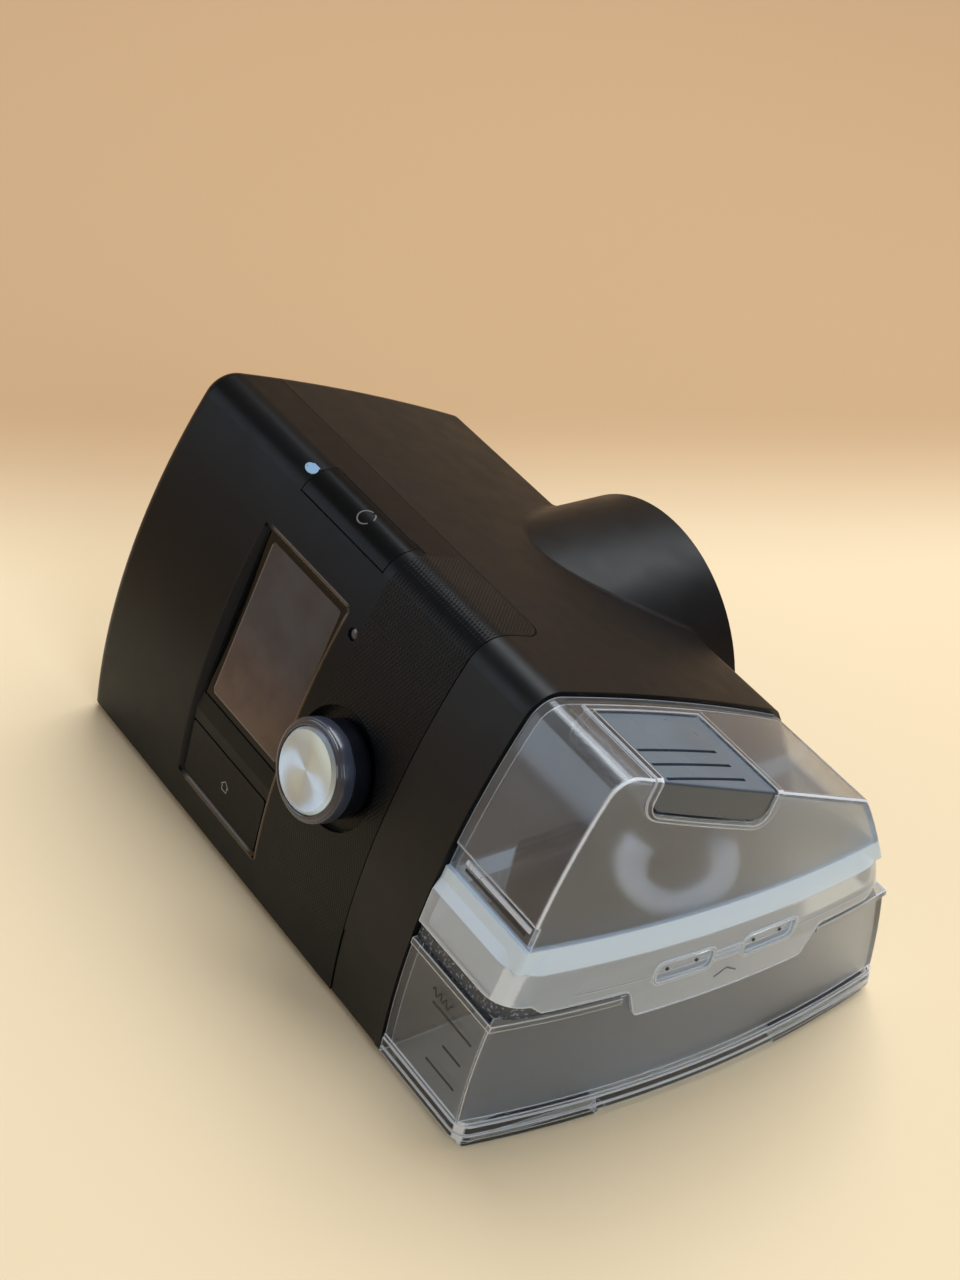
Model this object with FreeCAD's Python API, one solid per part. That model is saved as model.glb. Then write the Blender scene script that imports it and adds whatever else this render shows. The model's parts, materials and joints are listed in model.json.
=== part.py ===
import FreeCAD
import Part
import math
import os

# Bedside breathing machine (CPAP) with a docked water tub.
# Millimetres. X runs along the width towards the tub end, Y to the back, Z up.
# The origin is the bottom centre of the whole machine.

os.makedirs("parts", exist_ok=True)
V = FreeCAD.Vector
X = V(1, 0, 0)
Y = V(0, 1, 0)
Z = V(0, 0, 1)

# ---- Overall size -------------------------------------------------------------------------
WIDTH = 205.0
DEPTH = 150.0
HEIGHT = 116.0
BODY_BOTTOM = 3.0          # underside of the housings above the floor
LEFT = -WIDTH / 2          # blank end
RIGHT = WIDTH / 2          # water tub end
FRONT = -DEPTH / 2
BACK = DEPTH / 2

# ---- Side profile of the machine, in the Y-Z plane -----------------------------------------
FRONT_R = 226.0            # gentle convex front face
FRONT_BULGE_Z = 15.5       # height at which the front face reaches furthest forward
SHOULDER_R = 9.0           # rounded edge between front and top
TOP_R = 700.0              # slight crown of the sloping top
TOP_BACK_Y = BACK - 34.5   # sharp corner of top and back, before rounding
TOP_BACK_Z = HEIGHT - 31.0
BACK_BULGE = 4.5           # outward bow of the leaning back
BACK_EDGE_R = 5.0          # rounding of the edge between top and back

# ---- Housings -----------------------------------------------------------------------------
WALL = 2.4
SEAM = 0.3                 # open line between parts that do not move
END_LEAN = 2.8             # the blank end leans inwards by this much from bottom to top
END_EDGE_R = 4.0
FASCIA_X = LEFT + 136.0    # seam between the glossy fascia and the main case
FASCIA_TOP_Y = FRONT + 45.2 # seam across the top, where it meets the top surface
FASCIA_FOOT_Y = FRONT + 31.0 # the same seam at floor level
FASCIA_CORNER_R = 6.0
TUB_SEAM_X = LEFT + 160.3  # seam between main case and water tub
DOCK_GAP = 0.3             # clearance between the docked tub and the case
BASE_PLATE = 2.8
LOWER_PANEL_TOP = 26.0     # top of the shallow panel at the foot of the case's front
LOWER_PANEL_DEPTH = 0.3
LOWER_PANEL_EDGE = 2.2     # from the panel to the tub

# ---- Rear air outlet ----------------------------------------------------------------------
OUTLET_X = LEFT + 89.5
HOOD_R = 44.0              # round hood that rises from the sloping top
HOOD_Z = TOP_BACK_Z - 30.0
HOOD_END_Y = BACK - 20.0
HOOD_BLEND_R = 3.3
CUP_Z = HOOD_Z + 15.0      # axis of the recess round the outlet
CUP_R = 20.0
CUP_WALL = 2.0
CUP_FLOOR_Y = BACK - 41.0
CONNECTOR_R = 11.0         # male 22 mm hose end
CONNECTOR_ROOT_R = 11.2
CONNECTOR_NOSE_R = 10.6
CONNECTOR_ROOT_L = 4.0
CONNECTOR_LAND_L = 10.0    # straight length that carries the hose cuff
CONNECTOR_NOSE_L = 7.0
CONNECTOR_BORE = 17.5
CONNECTOR_FLANGE_R = 15.0
CONNECTOR_FLANGE_T = 2.5

# ---- Dock for the water tub ---------------------------------------------------------------
BAY_X = LEFT + 114.5
BAY_Y0 = FRONT + 26.5
BAY_Y1 = BACK - 39.0
BAY_Z0 = 9.0
BAY_Z1 = TOP_BACK_Z - 13.0
BAY_WALL = 2.0
BAY_GAP = 0.4              # clearance round the part of the tub inside the dock
PORT_R = 8.0
PORT_SEAL_R = 9.8
PORT_SEAL_BORE_R = 7.0
PORT_Z = BAY_Z1 - 11.0
PORT_IN_Y = FRONT + 47.0
PORT_OUT_Y = BAY_Y1 - 22.0

# ---- Display, buttons and dial ------------------------------------------------------------
WINDOW_X0 = LEFT + 50.9
WINDOW_X1 = LEFT + 92.7
WINDOW_Z0 = 14.3
WINDOW_FOLD_Z = 38.0       # the recess is two flat facets that meet here
WINDOW_Z1 = HEIGHT - 18.2
WINDOW_DEPTH = 0.8
BEZEL_T = 3.6              # thickness of the fascia behind the flat facets
LCD_MARGIN = 1.9
LCD_Z0 = 43.5
LCD_Z1 = WINDOW_Z1 - 1.4
GLASS_T = 1.2
GLASS_SINK = 0.3
LCD_T = 5.0
BOARD_T = 1.6
BOARD_DEPTH = 11.7         # front of the display board behind the upper facet
KEY_GAP = 0.25             # clearance round every push button
HOME_MARGIN = 1.3
HOME_Z1 = 34.0
HOME_T = 3.0
HOME_TRAVEL = 0.6
START_X0 = LEFT + 56.5
START_X1 = LEFT + 96.5
START_HALF = 5.8
START_T = 2.8
START_TRAVEL = 0.8
PIPE_W = 3.2
SENSOR_X = LEFT + 98.3
SENSOR_Z = WINDOW_Z1 - 4.3
SENSOR_R = 1.8
DIAL_X = LEFT + 113.0
DIAL_Z = WINDOW_Z1 - 36.3
DIAL_RECESS_R = 17.0
DIAL_RECESS_DEPTH = 0.9    # floor of the recess behind the flat facet
DIAL_CAP_R = 11.8
DIAL_RING_R = 14.2
DIAL_SKIRT_R = 13.4
DIAL_TOP = 11.9            # face of the cap in front of the flat facet
DIAL_CAP_T = 2.6
DIAL_RING_T = 5.0
DIAL_TRAVEL = 0.8
SHAFT_R = 3.0
FIT = 0.06                 # radial running clearance of shafts and sleeves
HUB_PLAY = 0.05            # radial play of the dial's hubs on their shaft
PLUNGER_R = 4.2
BUSH_R = 5.6

# ---- Blower -------------------------------------------------------------------------------
BLOWER_X = LEFT + 58.5
BLOWER_Y = FRONT + 89.0
BLOWER_R = 37.0
BLOWER_Z0 = 12.0
BLOWER_Z1 = CUP_Z - CUP_R - CUP_WALL - 2.5
BLOWER_SPLIT_Z = 30.0
IMPELLER_R = 31.0
IMPELLER_T = 9.0
BLADES = 11
MOTOR_SHAFT_R = 1.5

# ---- Water tub ----------------------------------------------------------------------------
END_R = 380.0              # plan radius of the bowed tub end
END_Y = 6.0                # where the bowed end reaches furthest out
FLANGE_Z = BODY_BOTTOM + 6.2
TUB_WALL = 2.0
TUB_FOOT_L = 46.0          # feet under the two outer corners of the flange
TUB_FOOT_W = 10.5
TUB_FOOT_SLANT = 3.0
TUB_FOOT_INSET = 1.0
BASE_INSET = 0.9
BASE_END = 2.1             # base wall stands in from the flange at the end
BASE_TOP = 44.0
SEAL_TOP = 49.5
RIM_LOW = 46.5             # lower edge of the rim on the tub end
RIM_BAND_TOP = 60.0        # the rim leans in above this height
RIM_TOP = 67.0
RIM_INSET = 0.2
RIM_END = 0.7
RIM_SKIN = 1.3
RIM_CORNER_R = 10.0
RIM_NECK_INSET = 2.3       # front of the lid just above the rim
RIM_NECK_TOP = 74.0
FLANGE_CORNER_R = 5.0
FLANGE_BANDS = ((0.0, 1.9, 0.0), (1.9, 2.4, 0.6), (2.4, 5.0, 0.2), (5.0, 6.2, 0.6))
LID_INSET = 1.3
LID_END = 2.7
LID_LEAN = 6.0             # degrees
LID_EDGE_R = 1.2
TONGUE_Y0 = FRONT + 41.0
TONGUE_Y1 = BACK - 43.0
TONGUE_Z = 36.5
TONGUE_SLANT = 4.0         # the tongue is this much narrower at its foot, at each end
TONGUE_EDGE_R = 2.0
SLOT_YS = (TONGUE_Y0 + 16, TONGUE_Y0 + 45)
SLOT_L = 18.0
SLOT_Z0 = 47.5
SLOT_Z1 = 54.0
SLOT_R = 2.0
SLOT_DEPTH = 0.8
SLOT_FRAME_W = 1.0         # raised frame round each slot
SLOT_FRAME_H = 0.4
GRIP_RIBS = 3              # fine ribs between the two slots
GRIP_RIB_W = 0.6
GRIP_RIB_H = 0.3
RIM_BEND_R = 2.5
PLATE_T = 0.8
PAD_Y0 = FRONT + 34.5
PAD_Y1 = FRONT + 73.5
PAD_X0 = TUB_SEAM_X + 6.2
PAD_T = 3.0
PAD_SINK = 0.3
PAD_TRAVEL = 1.0
PAD_DROP = 11.0
PAD_CORNER_R = 4.0
PAD_FRAME_W = 2.2          # clear raised frame round the latch pad
PAD_FRAME_H = 0.5
PAD_GROOVE_W = 1.1
PAD_GROOVE_PITCH = 5.8
PAD_GROOVE_END = 10.8      # last groove from the tub end
PAD_GROOVE_DEPTH = 0.7
TRAY_WALL = 1.5

# ---- Rear and end fittings ----------------------------------------------------------------
FILTER_X0 = LEFT + 7.5
FILTER_X1 = LEFT + 41.0
FILTER_Z0 = 48.5
FILTER_Z1 = TOP_BACK_Z - 12.0
FILTER_T = 6.0
KNUCKLE_R = 1.7
PIN_R = 0.8
POWER_X0 = LEFT + 18.5
POWER_X1 = LEFT + 48.5
POWER_Z0 = 12.0
POWER_Z1 = 35.0
POWER_FLOOR_Y = BACK - 14.0
JACK_R = 5.6
JACK_BORE_R = 3.7
JACK_L = 8.0
CLIP_T = 2.4
SD_Y0 = FRONT + 38.0
SD_Y1 = FRONT + 66.0
SD_Z0 = 19.0
SD_Z1 = 37.0
ADAPTER_Y0 = BACK - 49.0
ADAPTER_Y1 = BACK - 25.0
ADAPTER_Z0 = 14.0
ADAPTER_Z1 = 42.0
MAIN_BOARD_Z = 22.4
FOOT_R = 7.5
FOOT_SINK = 1.0
SCREW_HEAD_R = 2.8
SCREW_R = 1.4
SCREW_TOP = BODY_BOTTOM + 12.0

CASE_END_X = TUB_SEAM_X - DOCK_GAP / 2
TUB_X = TUB_SEAM_X + DOCK_GAP / 2


# ---- Small helpers ------------------------------------------------------------------------
def save(name, shape):
    """Write one piece, moved so that the origin lies under the middle of the whole machine."""
    piece = shape.removeSplitter()
    piece.translate(V(0, DIAL_REACH / 2, 0))
    piece.exportStep("parts/" + name + ".step")


def box(x0, x1, y0, y1, z0, z1):
    return Part.makeBox(x1 - x0, y1 - y0, z1 - z0, V(x0, y0, z0))


def cyl(r, base, direction, length):
    return Part.makeCylinder(r, length, base, direction)


def ring(r_out, r_in, base, direction, length):
    return cyl(r_out, base, direction, length).cut(cyl(r_in, base, direction, length))


def join(shapes):
    return shapes[0].multiFuse(shapes[1:]) if len(shapes) > 1 else shapes[0]


def rounded_box(x0, x1, y0, y1, z0, z1, r, axis):
    solid = box(x0, x1, y0, y1, z0, z1)
    along = [e for e in solid.Edges if abs(abs(e.tangentAt(e.FirstParameter).dot(axis)) - 1) < 1e-6]
    return solid.makeFillet(r, along)


def pipe(points, r_out, r_in):
    """Tube with mitred elbows along straight runs."""
    spine = Part.makePolygon(points)

    def bar(r):
        mouth = Part.Wire(Part.makeCircle(r, points[0], points[1] - points[0]))
        return spine.makePipeShell([mouth], True, False, 1)
    return bar(r_out).cut(bar(r_in))


# ---- Side profile -------------------------------------------------------------------------
def circle_meet(c1, r1, c2, r2, upper):
    """Meeting point of two circles in the Y-Z plane, the upper or the lower one."""
    gap = c2.sub(c1)
    d = gap.Length
    a = (r1 * r1 - r2 * r2 + d * d) / (2 * d)
    h = math.sqrt(r1 * r1 - a * a)
    u = V(0, gap.y / d, gap.z / d)
    n = V(0, -u.z, u.y)
    options = [c1 + u * a + n * h, c1 + u * a - n * h]
    options.sort(key=lambda p: p.z)
    return options[1] if upper else options[0]


def bowed_centre(p, q, bow):
    """Centre and radius of the arc from p to q that bows by bow to the left of p to q."""
    chord = q.sub(p)
    half = chord.Length / 2
    r = (half * half + bow * bow) / (2 * bow)
    left = V(0, -chord.z, chord.y).normalize()
    return (p + q) * 0.5 + left * (bow - r), r


FRONT_C = V(0, FRONT + FRONT_R, FRONT_BULGE_Z)
SHOULDER_C = V(0, FRONT_C.y - math.sqrt((FRONT_R - SHOULDER_R) ** 2
                                        - (HEIGHT - SHOULDER_R - FRONT_BULGE_Z) ** 2),
               HEIGHT - SHOULDER_R)
TOP_CORNER = V(0, TOP_BACK_Y, TOP_BACK_Z)
TOP_C = circle_meet(SHOULDER_C, TOP_R - SHOULDER_R, TOP_CORNER, TOP_R, False)
BACK_C, BACK_R = bowed_centre(V(0, BACK, BODY_BOTTOM), TOP_CORNER, -BACK_BULGE)
BACK_R = abs(BACK_R)
EDGE_C = circle_meet(TOP_C, TOP_R - BACK_EDGE_R, BACK_C, BACK_R - BACK_EDGE_R, False)


def front_y(z, inset=0.0):
    return FRONT_C.y - math.sqrt((FRONT_R - inset) ** 2 - (z - FRONT_C.z) ** 2)


def back_y(z, inset=0.0):
    return BACK_C.y + math.sqrt((BACK_R - inset) ** 2 - (z - BACK_C.z) ** 2)


def top_z(y, inset=0.0):
    return TOP_C.z + math.sqrt((TOP_R - inset) ** 2 - (y - TOP_C.y) ** 2)


def toward(centre, through, r):
    return centre + (through - centre).normalize() * r


def arc(centre, p, q):
    mid = toward(centre, (p + q) * 0.5, (p - centre).Length)
    return Part.Arc(p, mid, q).toShape()


def prism(inset, x0, x1, bottom=None):
    """The side profile, pushed in by inset, extruded along X."""
    z = BODY_BOTTOM + inset if bottom is None else bottom
    foot_f = V(0, front_y(z, inset), z)
    f_s = toward(FRONT_C, SHOULDER_C, FRONT_R - inset)
    s_t = toward(TOP_C, SHOULDER_C, TOP_R - inset)
    t_e = toward(TOP_C, EDGE_C, TOP_R - inset)
    e_b = toward(BACK_C, EDGE_C, BACK_R - inset)
    foot_b = V(0, back_y(z, inset), z)
    edges = [arc(FRONT_C, foot_f, f_s), arc(SHOULDER_C, f_s, s_t), arc(TOP_C, s_t, t_e),
             arc(EDGE_C, t_e, e_b), arc(BACK_C, e_b, foot_b), Part.makeLine(foot_b, foot_f)]
    face = Part.Face(Part.Wire(edges))
    face.translate(V(x0, 0, 0))
    return face.extrude(V(x1 - x0, 0, 0))


def inside_end(inset):
    """Everything on the inner side of the leaning blank end, pushed in by inset."""
    foot = LEFT + inset
    head = foot + END_LEAN * (HEIGHT + 60 - BODY_BOTTOM) / (HEIGHT - BODY_BOTTOM)
    sole = foot - END_LEAN * (20 + BODY_BOTTOM) / (HEIGHT - BODY_BOTTOM)
    corners = [V(sole, -120, -20), V(head, -120, HEIGHT + 60), V(200, -120, HEIGHT + 60),
               V(200, -120, -20), V(sole, -120, -20)]
    return Part.Face(Part.makePolygon(corners)).extrude(V(0, 240, 0))


def end_x(z, inset=0.0):
    return LEFT + inset + END_LEAN * (z - BODY_BOTTOM) / (HEIGHT - BODY_BOTTOM)


# ---- Flat facets of the display recess ----------------------------------------------------
def facet(z0, z1):
    """Placement of a flat facet: local Y goes into the machine, local Z up the facet."""
    low = V(0, front_y(z0), z0)
    high = V(0, front_y(z1), z1)
    tilt = math.degrees(math.atan2(high.y - low.y, high.z - low.z))
    return FreeCAD.Placement(low, FreeCAD.Rotation(X, -tilt)), (high - low).Length


UPPER, UPPER_L = facet(WINDOW_FOLD_Z, WINDOW_Z1)
LOWER, LOWER_L = facet(WINDOW_Z0, WINDOW_FOLD_Z)
UPPER_COS = UPPER.Rotation.multVec(Z).z
LOWER_COS = LOWER.Rotation.multVec(Z).z


def up_upper(z):
    return (z - WINDOW_FOLD_Z) / UPPER_COS


def up_lower(z):
    return (z - WINDOW_Z0) / LOWER_COS


def placed(shape, placement):
    out = shape.copy()
    out.Placement = placement.multiply(shape.Placement)
    return out


DIAL_UP = up_upper(DIAL_Z)
SHOULDER_OUT = (toward(FRONT_C, SHOULDER_C, 1) - FRONT_C
                + toward(TOP_C, SHOULDER_C, 1) - TOP_C).normalize()
SHOULDER_TILT = math.degrees(math.atan2(-SHOULDER_OUT.y, SHOULDER_OUT.z))
SHOULDER = FreeCAD.Placement(SHOULDER_C, FreeCAD.Rotation(X, SHOULDER_TILT))


def shoulder_block(x0, x1, half, low, grow=0.0):
    block = box(x0 - grow, x1 + grow, -half - grow, half + grow, low, 3 * SHOULDER_R)
    return placed(block, SHOULDER)


# ---- Whole body form, fascia and case -----------------------------------------------------
def body_form():
    solid = prism(0, LEFT - 5, CASE_END_X).common(inside_end(0))
    loop = [e for e in solid.Edges
            if e.BoundBox.XMax < LEFT + END_LEAN + 1 and e.BoundBox.ZMax > BODY_BOTTOM + 1]
    return solid.makeFillet(END_EDGE_R, loop)


def hood_form(r, end_y):
    hood = cyl(r, V(OUTLET_X, -10, HOOD_Z), Y, end_y + 10)
    hood.rotate(V(OUTLET_X, 0, HOOD_Z), Y, 180)
    return hood


def whole_form():
    """Outer form of the case and fascia together, with the hood blended into the top."""
    hood = hood_form(HOOD_R, HOOD_END_Y)
    form = body_form().fuse(hood)
    foot = [e for e in form.Edges if e.Curve.TypeId == "Part::GeomBSplineCurve"
            and abs(e.BoundBox.Center.x - OUTLET_X) < HOOD_R and e.BoundBox.ZMin > HOOD_Z]
    return form.makeFillet(HOOD_BLEND_R, foot)


def fascia_zone(grow):
    """Space of the front fascia: in front of the cross seam and left of the long seam."""
    x1 = FASCIA_X + grow
    slope = (FASCIA_TOP_Y - FASCIA_FOOT_Y) / top_z(FASCIA_TOP_Y)
    low, high = -10.0, HEIGHT + 20.0
    corners = [V(0, -100, low), V(0, FASCIA_FOOT_Y + slope * low + grow, low),
               V(0, FASCIA_FOOT_Y + slope * high + grow, high), V(0, -100, high)]
    face = Part.Face(Part.makePolygon(corners + corners[:1]))
    face.translate(V(LEFT - 20, 0, 0))
    zone = face.extrude(V(x1 + RIGHT + 20, 0, 0))
    corner = [e for e in zone.Edges
              if e.BoundBox.XMin > x1 - 0.01 and e.BoundBox.ZLength > 50 and e.BoundBox.YMin > -90]
    return zone.makeFillet(FASCIA_CORNER_R + grow, corner)


def base_posts():
    back_in = WALL + 3.2
    return [V(LEFT + 9, FRONT + 9, 0), V(CASE_END_X - 8, FRONT + 9, 0),
            V(LEFT + 9, back_y(12, back_in), 0), V(CASE_END_X - 8, back_y(12, back_in), 0)]


FORM = whole_form()


def cavity():
    """Hollow inside the housings, open at the bottom."""
    x1 = CASE_END_X - WALL
    hollow = prism(WALL, LEFT - 5, x1, bottom=BODY_BOTTOM - 1).common(inside_end(WALL))
    return hollow.fuse(hood_form(HOOD_R - WALL, HOOD_END_Y - WALL))


CAVITY = cavity()
SHELL = FORM.cut(CAVITY)


def post(base, top, r):
    return cyl(r, base, Z, top - base.z)


# ---- Front fascia -------------------------------------------------------------------------
LCD_X0 = WINDOW_X0 + LCD_MARGIN
LCD_X1 = WINDOW_X1 - LCD_MARGIN
HOME_X0 = WINDOW_X0 + HOME_MARGIN
HOME_X1 = WINDOW_X1 - HOME_MARGIN
HOME_Z0 = WINDOW_Z0 + HOME_MARGIN
FAR_OUT = 30.0


def on_upper(x0, x1, d0, d1, z0, z1):
    """Block on the upper facet, between two depths into the machine and two heights."""
    return placed(box(x0, x1, d0, d1, up_upper(z0), up_upper(z1)), UPPER)


def on_lower(x0, x1, d0, d1, z0, z1):
    return placed(box(x0, x1, d0, d1, up_lower(z0), up_lower(z1)), LOWER)


def dial_cyl(r, d0, d1):
    """Cylinder on the dial axis between two depths behind the upper facet."""
    return placed(cyl(r, V(DIAL_X, d0, DIAL_UP), Y, d1 - d0), UPPER)


def front_fascia():
    shell = SHELL.common(fascia_zone(-SEAM / 2))
    x0, x1 = WINDOW_X0 - WALL, WINDOW_X1 + WALL
    backing = join([on_upper(x0, x1, -FAR_OUT, BEZEL_T, WINDOW_FOLD_Z, WINDOW_Z1 + WALL),
                    on_lower(x0, x1, -FAR_OUT, BEZEL_T, WINDOW_Z0 - WALL, WINDOW_FOLD_Z),
                    dial_cyl(DIAL_RECESS_R + WALL, -FAR_OUT, BEZEL_T)]).common(body_form())
    d = WINDOW_DEPTH
    cuts = [on_upper(WINDOW_X0, WINDOW_X1, -FAR_OUT, d, WINDOW_FOLD_Z, WINDOW_Z1),
            on_lower(WINDOW_X0, WINDOW_X1, -FAR_OUT, d, WINDOW_Z0, WINDOW_FOLD_Z + 2),
            on_upper(LCD_X0, LCD_X1, -FAR_OUT, FAR_OUT, LCD_Z0, LCD_Z1),
            on_lower(HOME_X0, HOME_X1, -FAR_OUT, FAR_OUT, HOME_Z0, HOME_Z1),
            dial_cyl(DIAL_RECESS_R, -FAR_OUT, DIAL_RECESS_DEPTH),
            dial_cyl(BUSH_R + KEY_GAP, 0, FAR_OUT),
            shoulder_block(START_X0, START_X1, START_HALF, -2 * SHOULDER_R, KEY_GAP),
            shoulder_block(START_X0 - 1 - PIPE_W, START_X0 - 1, PIPE_W / 2, -2 * SHOULDER_R),
            sensor_cyl(SENSOR_R, -FAR_OUT, FAR_OUT)]
    fascia = join([shell, backing])
    for cut in cuts:
        fascia = fascia.cut(cut)
    fascia = join([fascia] + board_posts() + start_board_arms())
    x, y = base_posts()[0].x, base_posts()[0].y
    boss = cyl(3.4, V(x, y, BODY_BOTTOM + BASE_PLATE + SEAM), Z, 14).common(body_form())
    arm = box(LEFT, x, y - 1.5, y + 1.5, BODY_BOTTOM + BASE_PLATE + SEAM, 19).common(body_form())
    hole = cyl(SCREW_R + 0.1, V(x, y, 0), Z, SCREW_TOP + 1)
    return fascia.fuse(boss.fuse(arm)).cut(hole)


def board_posts():
    """Posts behind the fascia that the display board stands on."""
    return [placed(cyl(2.2, V(x, surface_depth(z) + 1, up_upper(z)), Y,
                       BOARD_DEPTH - surface_depth(z) - 1), UPPER)
            for x in (SENSOR_X + 0.7, DIAL_X + 12.5) for z in (WINDOW_FOLD_Z + 10, SENSOR_Z - 11.5)]


def start_board_arms():
    top = -START_TRAVEL - 0.4 - 3.4
    return [placed(box(x, x + 1.5, -4, 4, top, SHOULDER_R - 1), SHOULDER)
            for x in (START_X0 - 7.5, START_X1 + 1.6)]


def sensor_cyl(r, d0, d1):
    return placed(cyl(r, V(SENSOR_X, d0, up_upper(SENSOR_Z)), Y, d1 - d0), UPPER)


def surface_depth(z):
    """Depth of the outer front surface at height z, seen from the upper facet (negative)."""
    low, high = up_upper(z), UPPER_L - up_upper(z)
    return -low * high / (2 * FRONT_R)


def light_sensor():
    d = surface_depth(SENSOR_Z)
    barrel = sensor_cyl(SENSOR_R - 0.1, d + 0.3, d + 4.0)
    head = sensor_cyl(SENSOR_R + 1.0, d + WALL + 0.8, d + 4.5)
    dome = placed(Part.makeSphere(3.7, V(SENSOR_X, d + 4.0, up_upper(SENSOR_Z))), UPPER)
    return barrel.common(dome).fuse(head)


def light_pipe():
    outer = FORM.cut(prism(START_T, LEFT, RIGHT, bottom=0))
    block = shoulder_block(START_X0 - 1 - PIPE_W, START_X0 - 1, PIPE_W / 2, 0, -0.1)
    stem = placed(box(START_X0 - PIPE_W, START_X0 - 2, -1, 1, -4, SHOULDER_R - 1), SHOULDER)
    return outer.common(block).fuse(stem)


# ---- Screen, display board and buttons ----------------------------------------------------
def lcd_glass():
    return on_upper(LCD_X0 + 0.15, LCD_X1 - 0.15, WINDOW_DEPTH + GLASS_SINK,
                    WINDOW_DEPTH + GLASS_SINK + GLASS_T, LCD_Z0 + 0.15, LCD_Z1 - 0.15)


def lcd_module():
    front = WINDOW_DEPTH + GLASS_SINK + GLASS_T
    module = on_upper(LCD_X0 + 1, LCD_X1 - 1, front, front + LCD_T, LCD_Z0 + 1, LCD_Z1 - 1)
    return module


def lcd_frame():
    front = WINDOW_DEPTH + GLASS_SINK + GLASS_T + LCD_T
    outer = on_upper(LCD_X0 + 1, LCD_X1 - 1, front, BOARD_DEPTH, LCD_Z0 + 1, LCD_Z1 - 1)
    inner = on_upper(LCD_X0 + 3, LCD_X1 - 3, front + 1.2, BOARD_DEPTH, LCD_Z0 + 3, LCD_Z1 - 3)
    return outer.cut(inner)


def display_board():
    board = on_upper(WINDOW_X0 - 3, DIAL_X + 17, BOARD_DEPTH, BOARD_DEPTH + BOARD_T,
                     WINDOW_Z0 + 1, WINDOW_Z1 + 1)
    parts = [on_upper(x, x + 5, BOARD_DEPTH + BOARD_T, BOARD_DEPTH + BOARD_T + 1.5, z, z + 5)
             for x, z in ((LCD_X0 + 10, LCD_Z0 + 6), (LCD_X0 + 24, LCD_Z0 + 18),
                          (LCD_X0 + 38, LCD_Z0 + 2), (DIAL_X - 8, LCD_Z1 - 12))]
    return join([board] + parts)


def home_button():
    d = WINDOW_DEPTH - 0.2
    key = placed(rounded_box(HOME_X0 + KEY_GAP, HOME_X1 - KEY_GAP, d, d + HOME_T,
                             up_lower(HOME_Z0) + KEY_GAP, up_lower(HOME_Z1) - KEY_GAP, 1.0, Y),
                 LOWER)
    middle = (HOME_X0 + HOME_X1) / 2
    stem = placed(cyl(2.0, V(middle, d + HOME_T - 0.5, (up_lower(HOME_Z0) + up_lower(HOME_Z1)) / 2),
                      Y, 1.5), LOWER)
    return key.fuse(stem)


def home_switch():
    """Tact switch on the display board behind the home button."""
    x = (HOME_X0 + HOME_X1) / 2
    z = (HOME_Z0 + HOME_Z1) / 2
    top = BOARD_DEPTH - 2.6
    base = on_upper(x - 3, x + 3, top, BOARD_DEPTH, z - 3, z + 3)
    nub = placed(cyl(1.6, V(x, top - 0.7, up_upper(z)), Y, 0.8), UPPER)
    return base.fuse(nub)


def start_key(t, grow):
    skin = FORM.cut(prism(t, LEFT, RIGHT, bottom=0))
    return skin.common(shoulder_block(START_X0, START_X1, START_HALF, 0, grow))


def start_stop_button():
    middle = (START_X0 + START_X1) / 2
    stem = placed(cyl(2.2, V(middle, 0, 0), Z, SHOULDER_R - 1), SHOULDER)
    ribs = [placed(box(x - 0.6, x + 0.6, -4, 4, 3.5, SHOULDER_R - 1.5), SHOULDER)
            for x in (middle - 13, middle + 13)]
    return join([start_key(START_T, 0), stem] + ribs)


def start_switch():
    middle = (START_X0 + START_X1) / 2
    top = -START_TRAVEL - 0.4
    base = placed(box(middle - 3, middle + 3, -3, 3, top - 3.4, top - 0.7), SHOULDER)
    nub = placed(cyl(1.6, V(middle, 0, top - 0.8), Z, 0.8), SHOULDER)
    return base.fuse(nub)


def start_board():
    """Small board under the start button, carried by the two arms of the fascia."""
    top = -START_TRAVEL - 0.4 - 3.4
    return placed(box(START_X0 - 8, START_X1 + 4, -5, 5, top - BOARD_T, top), SHOULDER)


# ---- Dial ---------------------------------------------------------------------------------
def dial_cap():
    cap = dial_cyl(DIAL_CAP_R, -DIAL_TOP, -DIAL_TOP + DIAL_CAP_T)
    rim = [e for e in cap.Edges if e.Curve.TypeId == "Part::GeomCircle"]
    rim.sort(key=lambda e: e.CenterOfMass.y)
    return cap.makeChamfer(0.9, rim[:1])


def dial_ring():
    d0 = -DIAL_TOP + 0.9
    hub = dial_cyl(DIAL_CAP_R + 0.05, d0 - 1, -DIAL_TOP + DIAL_CAP_T)
    body = dial_cyl(DIAL_RING_R, d0, d0 + DIAL_RING_T)
    edges = [e for e in body.Edges if e.Curve.TypeId == "Part::GeomCircle"]
    edges.sort(key=lambda e: e.CenterOfMass.y)
    return body.makeFillet(1.2, edges[:1]).cut(hub).cut(dial_cyl(SHAFT_R + HUB_PLAY, -FAR_OUT, 0))


def dial_skirt():
    d0 = -DIAL_TOP + 0.9 + DIAL_RING_T
    body = dial_cyl(DIAL_SKIRT_R, d0, -0.5)
    well = dial_cyl(DIAL_SKIRT_R - 2.0, d0 + 2.0, 0)
    hub = dial_cyl(SHAFT_R + 1.6, d0, -1.0)
    return body.cut(well).fuse(hub).cut(dial_cyl(SHAFT_R + HUB_PLAY, -FAR_OUT, FAR_OUT))


ENCODER_D0 = 5.2


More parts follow.
